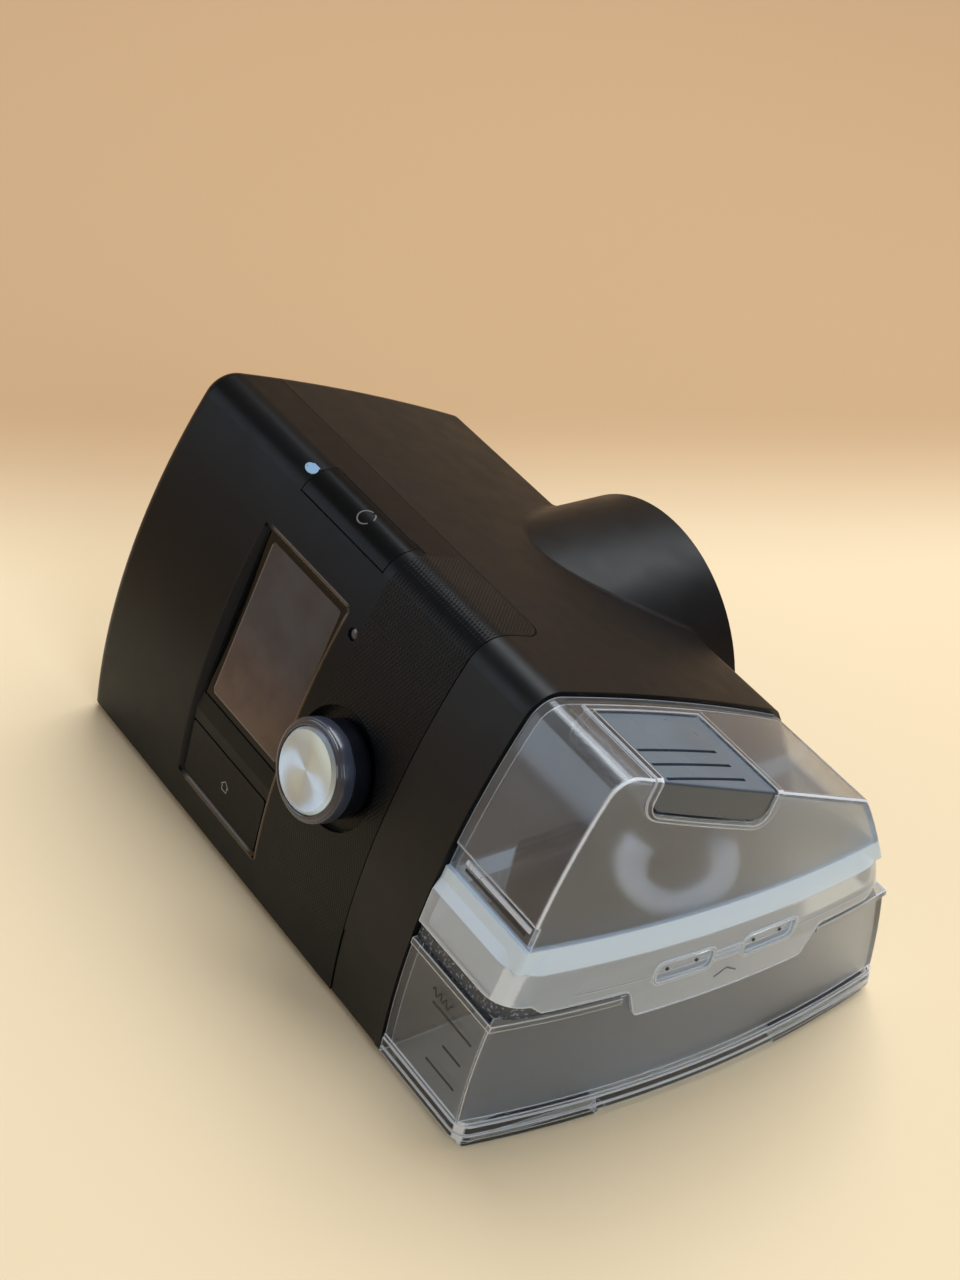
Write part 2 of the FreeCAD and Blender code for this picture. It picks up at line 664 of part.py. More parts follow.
def dial_shaft():
    tip = -DIAL_TOP + DIAL_CAP_T
    shaft = dial_cyl(SHAFT_R, tip, ENCODER_D0 + 3.6)
    collar = dial_cyl(SHAFT_R + 0.7, ENCODER_D0 + 3.6, ENCODER_D0 + 4.4)
    flat = placed(box(DIAL_X + SHAFT_R - 0.7, DIAL_X + SHAFT_R + 1, tip, -1.0,
                      DIAL_UP - SHAFT_R, DIAL_UP + SHAFT_R), UPPER)
    return shaft.fuse(collar).cut(flat)


def dial_plunger():
    """Sleeve that slides in the encoder when the dial is pressed; the shaft turns in it."""
    return dial_cyl(PLUNGER_R, 0.6, ENCODER_D0 + 3.6 - FIT).cut(
        dial_cyl(SHAFT_R + FIT, 0, ENCODER_D0 + 4))


def encoder():
    body = on_upper(DIAL_X - 6.5, DIAL_X + 6.5, ENCODER_D0, BOARD_DEPTH, DIAL_Z - 6.3, DIAL_Z + 6.3)
    bush = dial_cyl(BUSH_R, 1.4, ENCODER_D0 + 0.1)
    bore = dial_cyl(PLUNGER_R + FIT, 0, BOARD_DEPTH - 0.8)
    return body.fuse(bush).cut(bore)


# ---- Hinge lines of the rear and end covers -----------------------------------------------
PIN_REACH = 1.2            # how far a hinge pin goes into the wall at each end


FILTER_PIVOT_Z = FILTER_Z0 + SEAM + KNUCKLE_R
FILTER_PIVOT = V(0, back_y(FILTER_PIVOT_Z, KNUCKLE_R), FILTER_PIVOT_Z)
SD_PIVOT_Z = SD_Z0 + SEAM + KNUCKLE_R
SD_PIVOT = V(end_x(SD_PIVOT_Z) + KNUCKLE_R, 0, SD_PIVOT_Z)
CLIP_PIVOT = V(0, POWER_FLOOR_Y + 2.0, POWER_Z1 - 3.0)


def filter_pin(r, extra=0.0):
    x0, x1 = FILTER_X0 - PIN_REACH - extra, FILTER_X1 + PIN_REACH + extra
    return cyl(r, V(x0, FILTER_PIVOT.y, FILTER_PIVOT.z), X, x1 - x0)


def sd_pin(r, extra=0.0):
    y0, y1 = SD_Y0 - PIN_REACH - extra, SD_Y1 + PIN_REACH + extra
    return cyl(r, V(SD_PIVOT.x, y0, SD_PIVOT.z), Y, y1 - y0)


def clip_pin(r, extra=0.0):
    x0, x1 = POWER_X0 - PIN_REACH - extra, POWER_X1 + PIN_REACH + extra
    return cyl(r, V(x0, CLIP_PIVOT.y, CLIP_PIVOT.z), X, x1 - x0)


# ---- Main case ----------------------------------------------------------------------------
BAY_VOID = box(BAY_X, TUB_X + 5, BAY_Y0, BAY_Y1, BAY_Z0, BAY_Z1)
HEATER = (BAY_X + 6, BAY_X + 41, BAY_Y0 + 7.5, BAY_Y1 - 9)


def dock_liner():
    """Open box behind the case's end wall that takes the inner part of the water tub."""
    w = BAY_WALL
    shell = box(BAY_X - w, CASE_END_X - WALL, BAY_Y0 - w, BAY_Y1 + w, BAY_Z0 - w, BAY_Z1 + w)
    shell = shell.cut(BAY_VOID)
    for y in (PORT_IN_Y, PORT_OUT_Y):
        shell = shell.cut(cyl(PORT_SEAL_R, V(BAY_X - 5, y, PORT_Z), X, 10))
    x0, x1, y0, y1 = HEATER
    return shell.cut(box(x0, x1, y0, y1, 0, BAY_Z0 + 1))


def outlet_cup():
    """Round recess behind the hood, round the air outlet."""
    cup = cyl(CUP_R + CUP_WALL, V(OUTLET_X, CUP_FLOOR_Y - CUP_WALL, CUP_Z), Y, DEPTH).common(CAVITY)
    cup = cup.cut(cyl(CUP_R, V(OUTLET_X, CUP_FLOOR_Y, CUP_Z), Y, DEPTH))
    return cup.cut(cyl(CONNECTOR_BORE / 2 + 1.5, V(OUTLET_X, 0, CUP_Z), Y, DEPTH))


def filter_zone(grow):
    return box(FILTER_X0 - grow, FILTER_X1 + grow, 20, 90, FILTER_Z0 - grow, FILTER_Z1 + grow)


FILTER_BACK_Y = BACK - 37.0


def filter_tray():
    w = 1.6
    tray = box(FILTER_X0 - w, FILTER_X1 + w, FILTER_BACK_Y - w, 90, FILTER_Z0 - w, FILTER_Z1 + w)
    void = box(FILTER_X0, FILTER_X1, FILTER_BACK_Y, 90, FILTER_Z0, FILTER_Z1)
    window = box(FILTER_X0 + 6, FILTER_X1 - 6, 0, 60, FILTER_Z0 + 4, FILTER_Z1 - 4)
    bars = [box(x - 0.8, x + 0.8, FILTER_BACK_Y - w, FILTER_BACK_Y, FILTER_Z0, FILTER_Z1)
            for x in [FILTER_X0 + 6 + 5.4 * i for i in (1, 2, 3)]]
    tray = join([tray.cut(void).cut(window)] + bars).common(CAVITY)
    return tray.cut(filter_pin(PIN_R + 0.02, 0.1))


POWER_Z = (POWER_Z0 + POWER_Z1) / 2 - 2.5
POWER_X = (POWER_X0 + POWER_X1) / 2


def power_tray():
    w = 1.8
    tray = box(POWER_X0 - w, POWER_X1 + w, POWER_FLOOR_Y - w, 90, POWER_Z0 - w, POWER_Z1 + w)
    void = box(POWER_X0, POWER_X1, POWER_FLOOR_Y, 90, POWER_Z0, POWER_Z1)
    hole = cyl(JACK_R + 0.2, V(POWER_X, 40, POWER_Z), Y, 40)
    return tray.cut(void).cut(hole).common(CAVITY).cut(clip_pin(PIN_R + 0.02, 0.1))


def end_zone(y0, y1, z0, z1, grow):
    return box(LEFT - 5, LEFT + 8, y0 - grow, y1 + grow, z0 - grow, z1 + grow)


SD_CARD_Y0 = SD_Y0 + 1.6
SD_CARD_Y1 = SD_Y1 - 1.6
SD_SLOT_Z0 = MAIN_BOARD_Z + BOARD_T
SD_SLOT_Z1 = SD_SLOT_Z0 + 6.0


SD_WELL_X = end_x(SD_Z1) + WALL + 4.0


def sd_well():
    """Walls round the card slot, behind its cover."""
    x0 = end_x(SD_Z1) + WALL
    deep = SD_WELL_X
    return box(x0 - 1, deep, SD_Y0 - 1.2, SD_Y1 + 1.2, SD_Z0 - 1.2, SD_Z1 + 1.2).cut(
        box(x0 - 2, deep - 1.2, SD_Y0, SD_Y1, SD_Z0, SD_Z1)).cut(
        box(x0 - 2, deep + 1, SD_CARD_Y0 - 0.5, SD_CARD_Y1 + 0.5, SD_SLOT_Z0, SD_SLOT_Z1))


def main_case():
    case = SHELL.cut(fascia_zone(SEAM / 2))
    case = case.cut(cyl(CUP_R, V(OUTLET_X, CUP_FLOOR_Y, CUP_Z), Y, DEPTH))
    case = case.cut(BAY_VOID)
    case = case.cut(box(FILTER_X0, FILTER_X1, FILTER_BACK_Y, 90, FILTER_Z0, FILTER_Z1))
    case = case.cut(box(POWER_X0, POWER_X1, POWER_FLOOR_Y, 90, POWER_Z0, POWER_Z1))
    case = case.cut(end_zone(SD_Y0, SD_Y1, SD_Z0, SD_Z1, 0)).fuse(sd_well())
    case = case.cut(end_zone(ADAPTER_Y0, ADAPTER_Y1, ADAPTER_Z0, ADAPTER_Z1, 0))
    for pin in (filter_pin, sd_pin, clip_pin):
        case = case.cut(pin(PIN_R + 0.02, 0.1))
    panel = box(FASCIA_X, CASE_END_X - LOWER_PANEL_EDGE, FRONT - 5, FRONT + 20, 0,
                LOWER_PANEL_TOP)
    case = case.cut(panel.cut(prism(LOWER_PANEL_DEPTH, LEFT, RIGHT, bottom=-1)))
    for p in base_posts()[1:]:
        wall_x = LEFT if p.x < BAY_X else RIGHT
        boss = cyl(3.4, V(p.x, p.y, BODY_BOTTOM + BASE_PLATE + SEAM), Z, 14)
        arm = box(min(p.x, wall_x), max(p.x, wall_x), p.y - 1.5, p.y + 1.5,
                  BODY_BOTTOM + BASE_PLATE + SEAM, 19)
        web = boss.fuse(arm).common(FORM)
        case = case.fuse(web).cut(cyl(SCREW_R + 0.1, V(p.x, p.y, 0), Z, SCREW_TOP + 1))
    return case


# ---- Underside ----------------------------------------------------------------------------
FEET = [V(x, y, 0) for x in (LEFT + 18.5, CASE_END_X - 17.5) for y in (FRONT + 17, BACK - 23)]
BOARD_X1 = LEFT + 88.5
BOARD_Y0 = FRONT + 15.0
BOARD_Y1 = FRONT + 48.0
BOARD_POSTS = [V(x, y, 0) for x in (LEFT + 14.5, BOARD_X1 - 8) for y in (BOARD_Y0 + 4, BOARD_Y1 - 4)]


def base_cover():
    x1 = CASE_END_X - WALL - SEAM
    top = BODY_BOTTOM + BASE_PLATE
    slab = box(LEFT, x1, FRONT, BACK, BODY_BOTTOM, top)
    plate = prism(WALL + SEAM, LEFT - 5, x1, bottom=BODY_BOTTOM).common(slab)
    plate = plate.common(inside_end(WALL + SEAM))
    for p in base_posts():
        plate = plate.cut(cyl(SCREW_R + 0.2, V(p.x, p.y, 0), Z, 20))
        plate = plate.cut(cyl(SCREW_HEAD_R + 0.2, V(p.x, p.y, 0), Z, BODY_BOTTOM + 1.2))
    for p in FEET:
        plate = plate.cut(cyl(FOOT_R + 0.1, V(p.x, p.y, 0), Z, BODY_BOTTOM + FOOT_SINK))
    for i in range(9):
        x = BOARD_X1 - 6 + 5 * i
        plate = plate.cut(box(x, x + 2.4, FRONT + 5, FRONT + 17, 0, 10))
    posts = [post(V(p.x, p.y, top - 0.5), MAIN_BOARD_Z, 3.0) for p in BOARD_POSTS]
    return join([plate] + posts)


def rubber_feet():
    feet = []
    for p in FEET:
        foot = cyl(FOOT_R, p, Z, BODY_BOTTOM + FOOT_SINK)
        sole = [e for e in foot.Edges if e.CenterOfMass.z < 0.1 and e.Curve.TypeId == "Part::GeomCircle"]
        feet.append(foot.makeChamfer(0.6, sole))
    return Part.Compound(feet)


def base_screws():
    screws = []
    for p in base_posts():
        head = cyl(SCREW_HEAD_R, V(p.x, p.y, BODY_BOTTOM - 0.6), Z, 1.8)
        slot = box(p.x - 1.8, p.x + 1.8, p.y - 0.4, p.y + 0.4, 0, BODY_BOTTOM - 0.1)
        cross = box(p.x - 0.4, p.x + 0.4, p.y - 1.8, p.y + 1.8, 0, BODY_BOTTOM - 0.1)
        shank = post(V(p.x, p.y, BODY_BOTTOM), SCREW_TOP, SCREW_R)
        screws.append(head.fuse(shank).cut(slot).cut(cross))
    return Part.Compound(screws)


# ---- Electronics --------------------------------------------------------------------------
def main_board():
    top = MAIN_BOARD_Z + BOARD_T
    x0 = SD_WELL_X + SEAM
    board = box(x0, BOARD_X1, BOARD_Y0, BOARD_Y1, MAIN_BOARD_Z, top)
    wing = box(x0, x0 + 12, BOARD_Y1 - 1, SD_CARD_Y1 + 0.5, MAIN_BOARD_Z, top)
    spots = [(44, 4, 10, 12, 2), (28, 20, 8, 8, 9), (60, 22, 14, 8, 6), (66, 4, 10, 8, 3)]
    parts = [box(x0 + x, x0 + x + w, BOARD_Y0 + y, BOARD_Y0 + y + d, top, top + h)
             for x, y, w, d, h in spots]
    cans = [cyl(4.0, V(x0 + x, BOARD_Y0 + 10, top), Z, 10) for x in (26, 36)]
    return join([board, wing] + parts + cans)


def sd_socket():
    top = MAIN_BOARD_Z + BOARD_T
    x0 = SD_WELL_X + SEAM
    case = box(x0, x0 + 18, SD_CARD_Y0 - 1, SD_CARD_Y1 + 0.5, top, top + 6.0)
    return case.cut(box(x0 - 1, x0 + 16, SD_CARD_Y0, SD_CARD_Y1 - 0.5, top + 0.8, top + 5.2))


def adapter_socket():
    x0 = end_x(ADAPTER_Z1) + WALL + 2.0
    y = (ADAPTER_Y0 + ADAPTER_Y1) / 2
    shell = box(x0, x0 + 7, y - 9, y + 9, ADAPTER_Z0 + 6, ADAPTER_Z0 + 18)
    shell = shell.cut(box(x0 - 1, x0 + 5, y - 7.5, y + 7.5, ADAPTER_Z0 + 7.5, ADAPTER_Z0 + 16.5))
    stand = box(x0 + 1, x0 + 7, y - 6, y + 6, BODY_BOTTOM + BASE_PLATE, ADAPTER_Z0 + 6)
    return shell.fuse(stand)


# ---- Blower -------------------------------------------------------------------------------
def blower_at(z):
    return V(BLOWER_X, BLOWER_Y, z)


DUCT_X = BLOWER_X + BLOWER_R + 2.0
DUCT_Y = BLOWER_Y - BLOWER_R + 10.0
DUCT_Z = BLOWER_Z1 - 8.5
DUCT_R = 8.0
DUCT_WALL = 1.2


def blower_shell(r, z0, z1):
    """Scroll: a round chamber that leaves along +X at the front."""
    chamber = cyl(r, blower_at(z0), Z, z1 - z0)
    nose = box(BLOWER_X, DUCT_X, BLOWER_Y - r, BLOWER_Y - r + 20, z0, z1)
    return chamber.fuse(nose)


def blower_halves():
    w = 1.8
    outer = blower_shell(BLOWER_R, BLOWER_Z0, BLOWER_Z1)
    inner = blower_shell(BLOWER_R - w, BLOWER_Z0 + w, BLOWER_Z1 - w)
    inner = inner.common(box(-200, DUCT_X - w, -200, 200, 0, 200))
    duct = V(DUCT_X - 3, DUCT_Y, DUCT_Z)
    shell = outer.cut(inner).cut(cyl(DUCT_R - DUCT_WALL, duct, X, 6))
    shell = shell.cut(cyl(14, blower_at(BLOWER_Z1 - 4), Z, 8))
    low = shell.common(box(-200, 200, -200, 200, 0, BLOWER_SPLIT_Z))
    high = shell.common(box(-200, 200, -200, 200, BLOWER_SPLIT_Z, 200))
    seat = cyl(12, blower_at(BLOWER_Z0), Z, 3.0)
    low = low.fuse(seat).cut(cyl(4.0 + FIT, blower_at(0), Z, 40))
    return low, high


def blower_bearing():
    return ring(4.0, MOTOR_SHAFT_R + FIT, blower_at(BLOWER_Z0 + 0.4), Z, 2.6)


def motor():
    """Motor that stands on the floor of the scroll, under the impeller."""
    z0 = BLOWER_Z0 + 3.0
    can = ring(11.0, MOTOR_SHAFT_R + 1.2, blower_at(z0), Z, 7.5)
    ribs = []
    for i in range(6):
        rib = box(BLOWER_X - 1.5, BLOWER_X + 1.5, BLOWER_Y + 10, BLOWER_Y + 12.5, z0, z0 + 5)
        rib.rotate(blower_at(0), Z, 60 * i)
        ribs.append(rib)
    return join([can] + ribs)


def impeller():
    z0 = BLOWER_Z0 + 12.0
    disc = cyl(IMPELLER_R, blower_at(z0), Z, 1.2)
    hub = cyl(5.0, blower_at(z0), Z, IMPELLER_T)
    cone = Part.makeCone(9.0, 5.0, IMPELLER_T - 2, blower_at(z0), Z)
    blades = []
    for i in range(BLADES):
        bow = 22.0
        centre = V(BLOWER_X + 5 + 13, BLOWER_Y + 17, z0)
        blade = ring(bow, bow - 1.0, centre, Z, IMPELLER_T)
        window = box(BLOWER_X + 4.2, BLOWER_X + 40, BLOWER_Y - 30, BLOWER_Y + 12, z0, z0 + IMPELLER_T)
        blade = blade.common(window).common(cyl(IMPELLER_R, blower_at(z0), Z, IMPELLER_T))
        blade.rotate(blower_at(0), Z, 360.0 / BLADES * i)
        blades.append(blade)
    wheel = join([disc, hub, cone] + blades)
    return wheel.cut(cyl(MOTOR_SHAFT_R, blower_at(0), Z, 60))


def motor_shaft():
    z0 = BLOWER_Z0 + 0.5
    return post(blower_at(z0), BLOWER_Z0 + 12.0 + IMPELLER_T + 1, MOTOR_SHAFT_R)


def blower_mounts():
    mounts = []
    for i in range(3):
        angle = math.radians(90 + 120 * i)
        p = V(BLOWER_X + 26 * math.cos(angle), BLOWER_Y + 26 * math.sin(angle),
              BODY_BOTTOM + BASE_PLATE)
        mounts.append(post(p, BLOWER_Z0, 4.0))
    return Part.Compound(mounts)


def blower_duct():
    bend_x = DUCT_X + DUCT_R / 2
    route = [V(DUCT_X - DUCT_R, DUCT_Y, DUCT_Z), V(bend_x, DUCT_Y, DUCT_Z),
             V(bend_x, PORT_IN_Y, PORT_Z), V(BAY_X + DUCT_R, PORT_IN_Y, PORT_Z)]
    tube = pipe(route, DUCT_R, DUCT_R - DUCT_WALL)
    return tube.common(box(DUCT_X, BAY_X - BAY_WALL, -200, 200, 0, 200))


# ---- Outlet -------------------------------------------------------------------------------
CONNECTOR_LAND = V(OUTLET_X, CUP_FLOOR_Y + CONNECTOR_FLANGE_T + CONNECTOR_ROOT_L, CUP_Z)


def outlet_connector():
    base = V(OUTLET_X, CUP_FLOOR_Y, CUP_Z)
    flange = cyl(CONNECTOR_FLANGE_R, base, Y, CONNECTOR_FLANGE_T)
    start = base + Y * CONNECTOR_FLANGE_T
    root = Part.makeCone(CONNECTOR_ROOT_R, CONNECTOR_R, CONNECTOR_ROOT_L, start, Y)
    land = cyl(CONNECTOR_R, CONNECTOR_LAND, Y, CONNECTOR_LAND_L)
    nose = Part.makeCone(CONNECTOR_R, CONNECTOR_NOSE_R, CONNECTOR_NOSE_L,
                         CONNECTOR_LAND + Y * CONNECTOR_LAND_L, Y)
    spigot = cyl(CONNECTOR_BORE / 2 + 1.3, base - Y * 4, Y, 5)
    solid = join([flange, root, land, nose, spigot])
    return solid.cut(cyl(CONNECTOR_BORE / 2, base - Y * 10, Y, 60))


def outlet_duct():
    end = V(OUTLET_X, CUP_FLOOR_Y - CUP_WALL - 2.3, CUP_Z)
    low = V(OUTLET_X, PORT_OUT_Y + 1, PORT_Z + 3)
    start = V(BAY_X - BAY_WALL, PORT_OUT_Y, PORT_Z)
    tube = pipe([start + X * 10, low, end + Y * 10], DUCT_R + 2.0, DUCT_R + 0.8)
    return tube.common(box(-200, BAY_X - BAY_WALL, -200, end.y, 0, 200))


# ---- Heater -------------------------------------------------------------------------------
def heater_plate():
    x0, x1, y0, y1 = HEATER
    g = 0.3
    return rounded_box(x0 + g, x1 - g, y0 + g, y1 - g, BODY_BOTTOM + BASE_PLATE + 1.4,
                       BAY_Z0 + 0.4, 4.0, Z)


def heater_pad():
    """Insulating pad between the heater plate and the base cover."""
    x0, x1, y0, y1 = HEATER
    return rounded_box(x0 + 2, x1 - 2, y0 + 2, y1 - 2, BODY_BOTTOM + BASE_PLATE,
                       BODY_BOTTOM + BASE_PLATE + 1.4, 3.0, Z)


# ---- Water tub ----------------------------------------------------------------------------
INNER = (BAY_X + BAY_GAP, BAY_Y0 + BAY_GAP, BAY_Y1 - BAY_GAP)
INNER_Z0 = BAY_Z0 + 0.8
INNER_Z1 = BAY_Z1 - BAY_GAP


def bowed_end(back, lean, z_ref):
    """Everything inside the bowed end wall, which stands back from the flange and may lean."""
    r = END_R - back
    low, high = -10.0, HEIGHT + 20.0
    slope = math.tan(math.radians(lean))
    axis = V(RIGHT - END_R, END_Y, low)
    if lean == 0:
        solid = cyl(r, axis, Z, high - low)
    else:
        solid = Part.makeCone(r + (z_ref - low) * slope, r - (high - z_ref) * slope, high - low,
                              axis, Z)
    solid.rotate(axis, Z, 180)
    return solid


def tub_form(inset, back, z0, z1, push=0.0, lean=0.0):
    """The part of the tub outside the case; push moves every wall inwards."""
    solid = prism(inset + push, TUB_X + push, RIGHT + 5, bottom=BODY_BOTTOM - 1)
    solid = solid.common(bowed_end(back + push, lean, RIM_TOP))
    return solid.common(box(0, 200, -200, 200, z0, z1))


def rounded_form(inset, back, z0, z1, corner):
    """A level slice of the outer part of the tub with its two upright corners rounded."""
    slab = tub_form(inset, back, z0 - 6, z1 + 6)
    upright = [e for e in slab.Edges if e.BoundBox.ZLength > slab.BoundBox.ZLength * 0.9
               and e.CenterOfMass.x > TUB_X + corner]
    return slab.makeFillet(corner, upright).common(box(0, 200, -200, 200, z0, z1))


def inner_form(z0, z1, push=0.0):
    """The part of the tub inside the dock."""
    x0, y0, y1 = INNER
    return box(x0 + push, TUB_X + TUB_WALL + 1, y0 + push, y1 - push, z0, z1)


def tub_base():
    flange = [rounded_form(inset, inset, BODY_BOTTOM + low, BODY_BOTTOM + high,
                           FLANGE_CORNER_R - inset) for low, high, inset in FLANGE_BANDS]
    walls = tub_form(BASE_INSET, BASE_END, FLANGE_Z - 1, BASE_TOP)
    lip = tub_form(0.3, 1.2, BASE_TOP - 2, BASE_TOP)
    tongue_room = box(TUB_X, 200, TONGUE_Y0 - 1, TONGUE_Y1 + 1, BASE_TOP - 3, BASE_TOP + 1)
    lip = lip.cut(tongue_room.cut(tub_form(BASE_INSET, BASE_END, 0, 200)))
    tub = join(flange + [walls, lip, inner_form(INNER_Z0, BASE_TOP)])
    hollow = tub_form(BASE_INSET, BASE_END, BODY_BOTTOM + 2.8, BASE_TOP + 1, TUB_WALL)
    hollow = hollow.fuse(inner_form(INNER_Z0 + 2.2, BASE_TOP + 1, TUB_WALL))
    tub = tub.cut(hollow)
    x0, x1, y0, y1 = TUB_PLATE
    window = box(x0, x1, y0, y1, 0, INNER_Z0 + 5)
    return join([tub.cut(window)] + tub_feet())


TUB_PLATE = (HEATER[0] + 1, HEATER[1] - 1, HEATER[2] + 1, HEATER[3] - 1)


def tub_feet():
    """Two short feet with slanting ends under the outer corners of the flange."""
    top = BODY_BOTTOM + 1
    outline = rounded_form(TUB_FOOT_INSET, TUB_FOOT_INSET, top - 1, top, FLANGE_CORNER_R - TUB_FOOT_INSET)
    deep = Part.Face(outline.slice(Z, top - 0.5)[0]).extrude(V(0, 0, -2 * top))
    feet = []
    for y0, y1 in ((FRONT, FRONT + TUB_FOOT_L), (BACK - TUB_FOOT_L, BACK)):
        corners = [V(RIGHT - TUB_FOOT_W, y, z) for y, z in
                   ((y0 + TUB_FOOT_SLANT, 0), (y1 - TUB_FOOT_SLANT, 0), (y1, top), (y0, top))]
        foot = Part.Face(Part.makePolygon(corners + corners[:1])).extrude(X * 3 * TUB_FOOT_W)
        feet.append(foot.common(deep))
    return feet


def tub_plate():
    """Metal plate in the floor of the docked part, over the heater."""
    x0, x1, y0, y1 = TUB_PLATE
    g = 0.1
    floor = INNER_Z0 + 2.2
    pan = box(x0 + g, x1 - g, y0 + g, y1 - g, INNER_Z0, floor + PLATE_T)
    brim = box(x0 - 2, x1 + 2, y0 - 2, y1 + 2, floor, floor + PLATE_T)
    well = box(x0 + 1.2, x1 - 1.2, y0 + 1.2, y1 - 1.2, INNER_Z0 + PLATE_T, floor + 5)
    return pan.fuse(brim).cut(well)


def tub_seal():
    behind = RIM_SKIN + SEAM
    outer = rounded_form(RIM_INSET + behind, RIM_END + behind, BASE_TOP, SEAL_TOP,
                         RIM_CORNER_R - behind)
    outer = outer.fuse(inner_form(BASE_TOP, SEAL_TOP, 0.3))
    inner = rounded_form(BASE_INSET + TUB_WALL + 0.6, BASE_END + TUB_WALL + 0.6, BASE_TOP - 1,
                         SEAL_TOP + 1, RIM_CORNER_R - 4)
    inner = inner.common(box(TUB_X + TUB_WALL + 0.6, 200, -200, 200, 0, 90))
    inner = inner.fuse(inner_form(0, 90, TUB_WALL + 0.6))
    return outer.cut(inner)


def lid_solid(push=0.0):
    return tub_form(LID_INSET, LID_END, SEAL_TOP, HEIGHT + 5, push, LID_LEAN)


def rim_section(inset, back, z, corner):
    return rounded_form(inset, back, z - 1, z + 1, corner).slice(Z, z)[0]


def rim_form():
    """Upright band of the lid's rim and the steep ledge above it."""
    band = rounded_form(RIM_INSET, RIM_END, SEAL_TOP, RIM_BAND_TOP, RIM_CORNER_R)
    ledge = Part.makeLoft([rim_section(RIM_INSET, RIM_END, RIM_BAND_TOP, RIM_CORNER_R),
                           rim_section(RIM_NECK_INSET, LID_END, RIM_TOP, RIM_CORNER_R - 2)],
                          True, True)
    rim = band.fuse(ledge)
    bend = [e for e in rim.Edges if abs(e.BoundBox.Center.z - RIM_BAND_TOP) < 0.1
            and e.BoundBox.ZLength < 0.1]
    return rim.makeFillet(RIM_BEND_R, bend)


def grip_slot(y, grow=0.0):
    return rounded_box(TUB_X, RIGHT + 5, y - SLOT_L / 2 - grow, y + SLOT_L / 2 + grow,
                       SLOT_Z0 - grow, SLOT_Z1 + grow, SLOT_R + grow, X)


def grip_marks():
    """Raised frames round the two slots and the fine ribs between them."""
    frames = [grip_slot(y, SLOT_FRAME_W).cut(grip_slot(y)) for y in SLOT_YS]
    y0 = SLOT_YS[0] + SLOT_L / 2 + SLOT_FRAME_W - 0.2
    y1 = SLOT_YS[1] - SLOT_L / 2 - SLOT_FRAME_W + 0.2
    pitch = (SLOT_Z1 - SLOT_Z0) / (GRIP_RIBS + 1)
    ribs = [box(TUB_X, RIGHT, y0, y1, z - GRIP_RIB_W / 2, z + GRIP_RIB_W / 2)
            for z in (SLOT_Z0 + pitch * (i + 1) for i in range(GRIP_RIBS))]
    root = bowed_end(RIM_END + 0.4, 0, 0)
    return ([frame.common(bowed_end(RIM_END - SLOT_FRAME_H, 0, 0)).cut(root) for frame in frames]
            + [rib.common(bowed_end(RIM_END - GRIP_RIB_H, 0, 0)).cut(root) for rib in ribs])


def rim_apron():
    """Lower edge of the rim on the tub end, with the grip tongue that hangs from it."""
    y0, y1, slant = TONGUE_Y0, TONGUE_Y1, TONGUE_SLANT
    low, top = RIM_LOW, SEAL_TOP + 2
    outline = [(FRONT + 9, top), (FRONT + 15, low), (y0, low), (y0 + slant, TONGUE_Z),
               (y1 - slant, TONGUE_Z), (y1, low), (BACK - 24, low), (BACK - 18, top)]
    corners = [V(TUB_X, y, z) for y, z in outline]
    plate = Part.Face(Part.makePolygon(corners + corners[:1])).extrude(X * 60)
    bends = [e for e in plate.Edges if e.BoundBox.XLength > 50 and e.CenterOfMass.z < top - 1
             and TONGUE_Y0 - 1 < e.CenterOfMass.y < TONGUE_Y1 + 1]
    plate = plate.makeFillet(TONGUE_EDGE_R, bends)
    outer = rounded_form(RIM_INSET, RIM_END, TONGUE_Z, top, RIM_CORNER_R)
    inner = rounded_form(RIM_INSET + RIM_SKIN, RIM_END + RIM_SKIN, TONGUE_Z - 1, top + 1,
                         RIM_CORNER_R - RIM_SKIN)
    return plate.common(outer).cut(inner)


def lid_outer(push=0.0):
    """The lid's form with its end wall rounded into the front, top and back."""
    solid = lid_solid(push)
    end_wall = [f for f in solid.Faces if f.Surface.TypeId == "Part::GeomCone"]
    crest = [e for f in end_wall for e in f.Edges if e.BoundBox.ZLength > 1]
    return solid.makeFillet(LID_EDGE_R - push, crest)


PAD_TRAY_SINK = PAD_SINK + PAD_T + PAD_TRAVEL + 0.4


def pad_zone(grow, below=0.0):
    """Space of the latch pad, seen from above, down to its lower edge on the end wall."""
    low = top_z((PAD_Y0 + PAD_Y1) / 2) - PAD_DROP
    tilt = math.degrees(math.atan2(top_z(PAD_Y0) - top_z(PAD_Y1), PAD_Y1 - PAD_Y0))
    middle = V(0, (PAD_Y0 + PAD_Y1) / 2, low)
    half = (PAD_Y1 - PAD_Y0) / 2 / math.cos(math.radians(tilt))
    block = box(PAD_X0 - grow, 130, -half - grow, half + grow, -grow - below, 60)
    lower = [e for e in block.Edges if e.BoundBox.XLength > 30 and e.CenterOfMass.z < 30]
    block = block.makeFillet(PAD_CORNER_R + grow, lower)
    block.Placement = FreeCAD.Placement(middle, FreeCAD.Rotation(X, -tilt))
    return block


def latch_pad():
    skin = lid_outer(PAD_SINK).cut(lid_solid(PAD_SINK + PAD_T))
    pad = skin.common(pad_zone(-SEAM))
    rind = lid_outer().cut(lid_outer(PAD_SINK + PAD_GROOVE_DEPTH))
    for i in range(3):
        x = RIGHT - PAD_GROOVE_END - PAD_GROOVE_PITCH * i
        pad = pad.cut(rind.common(box(x - PAD_GROOVE_W, x, PAD_Y0 + 5, PAD_Y1 - 5, BAY_Z1, HEIGHT)))
    return pad


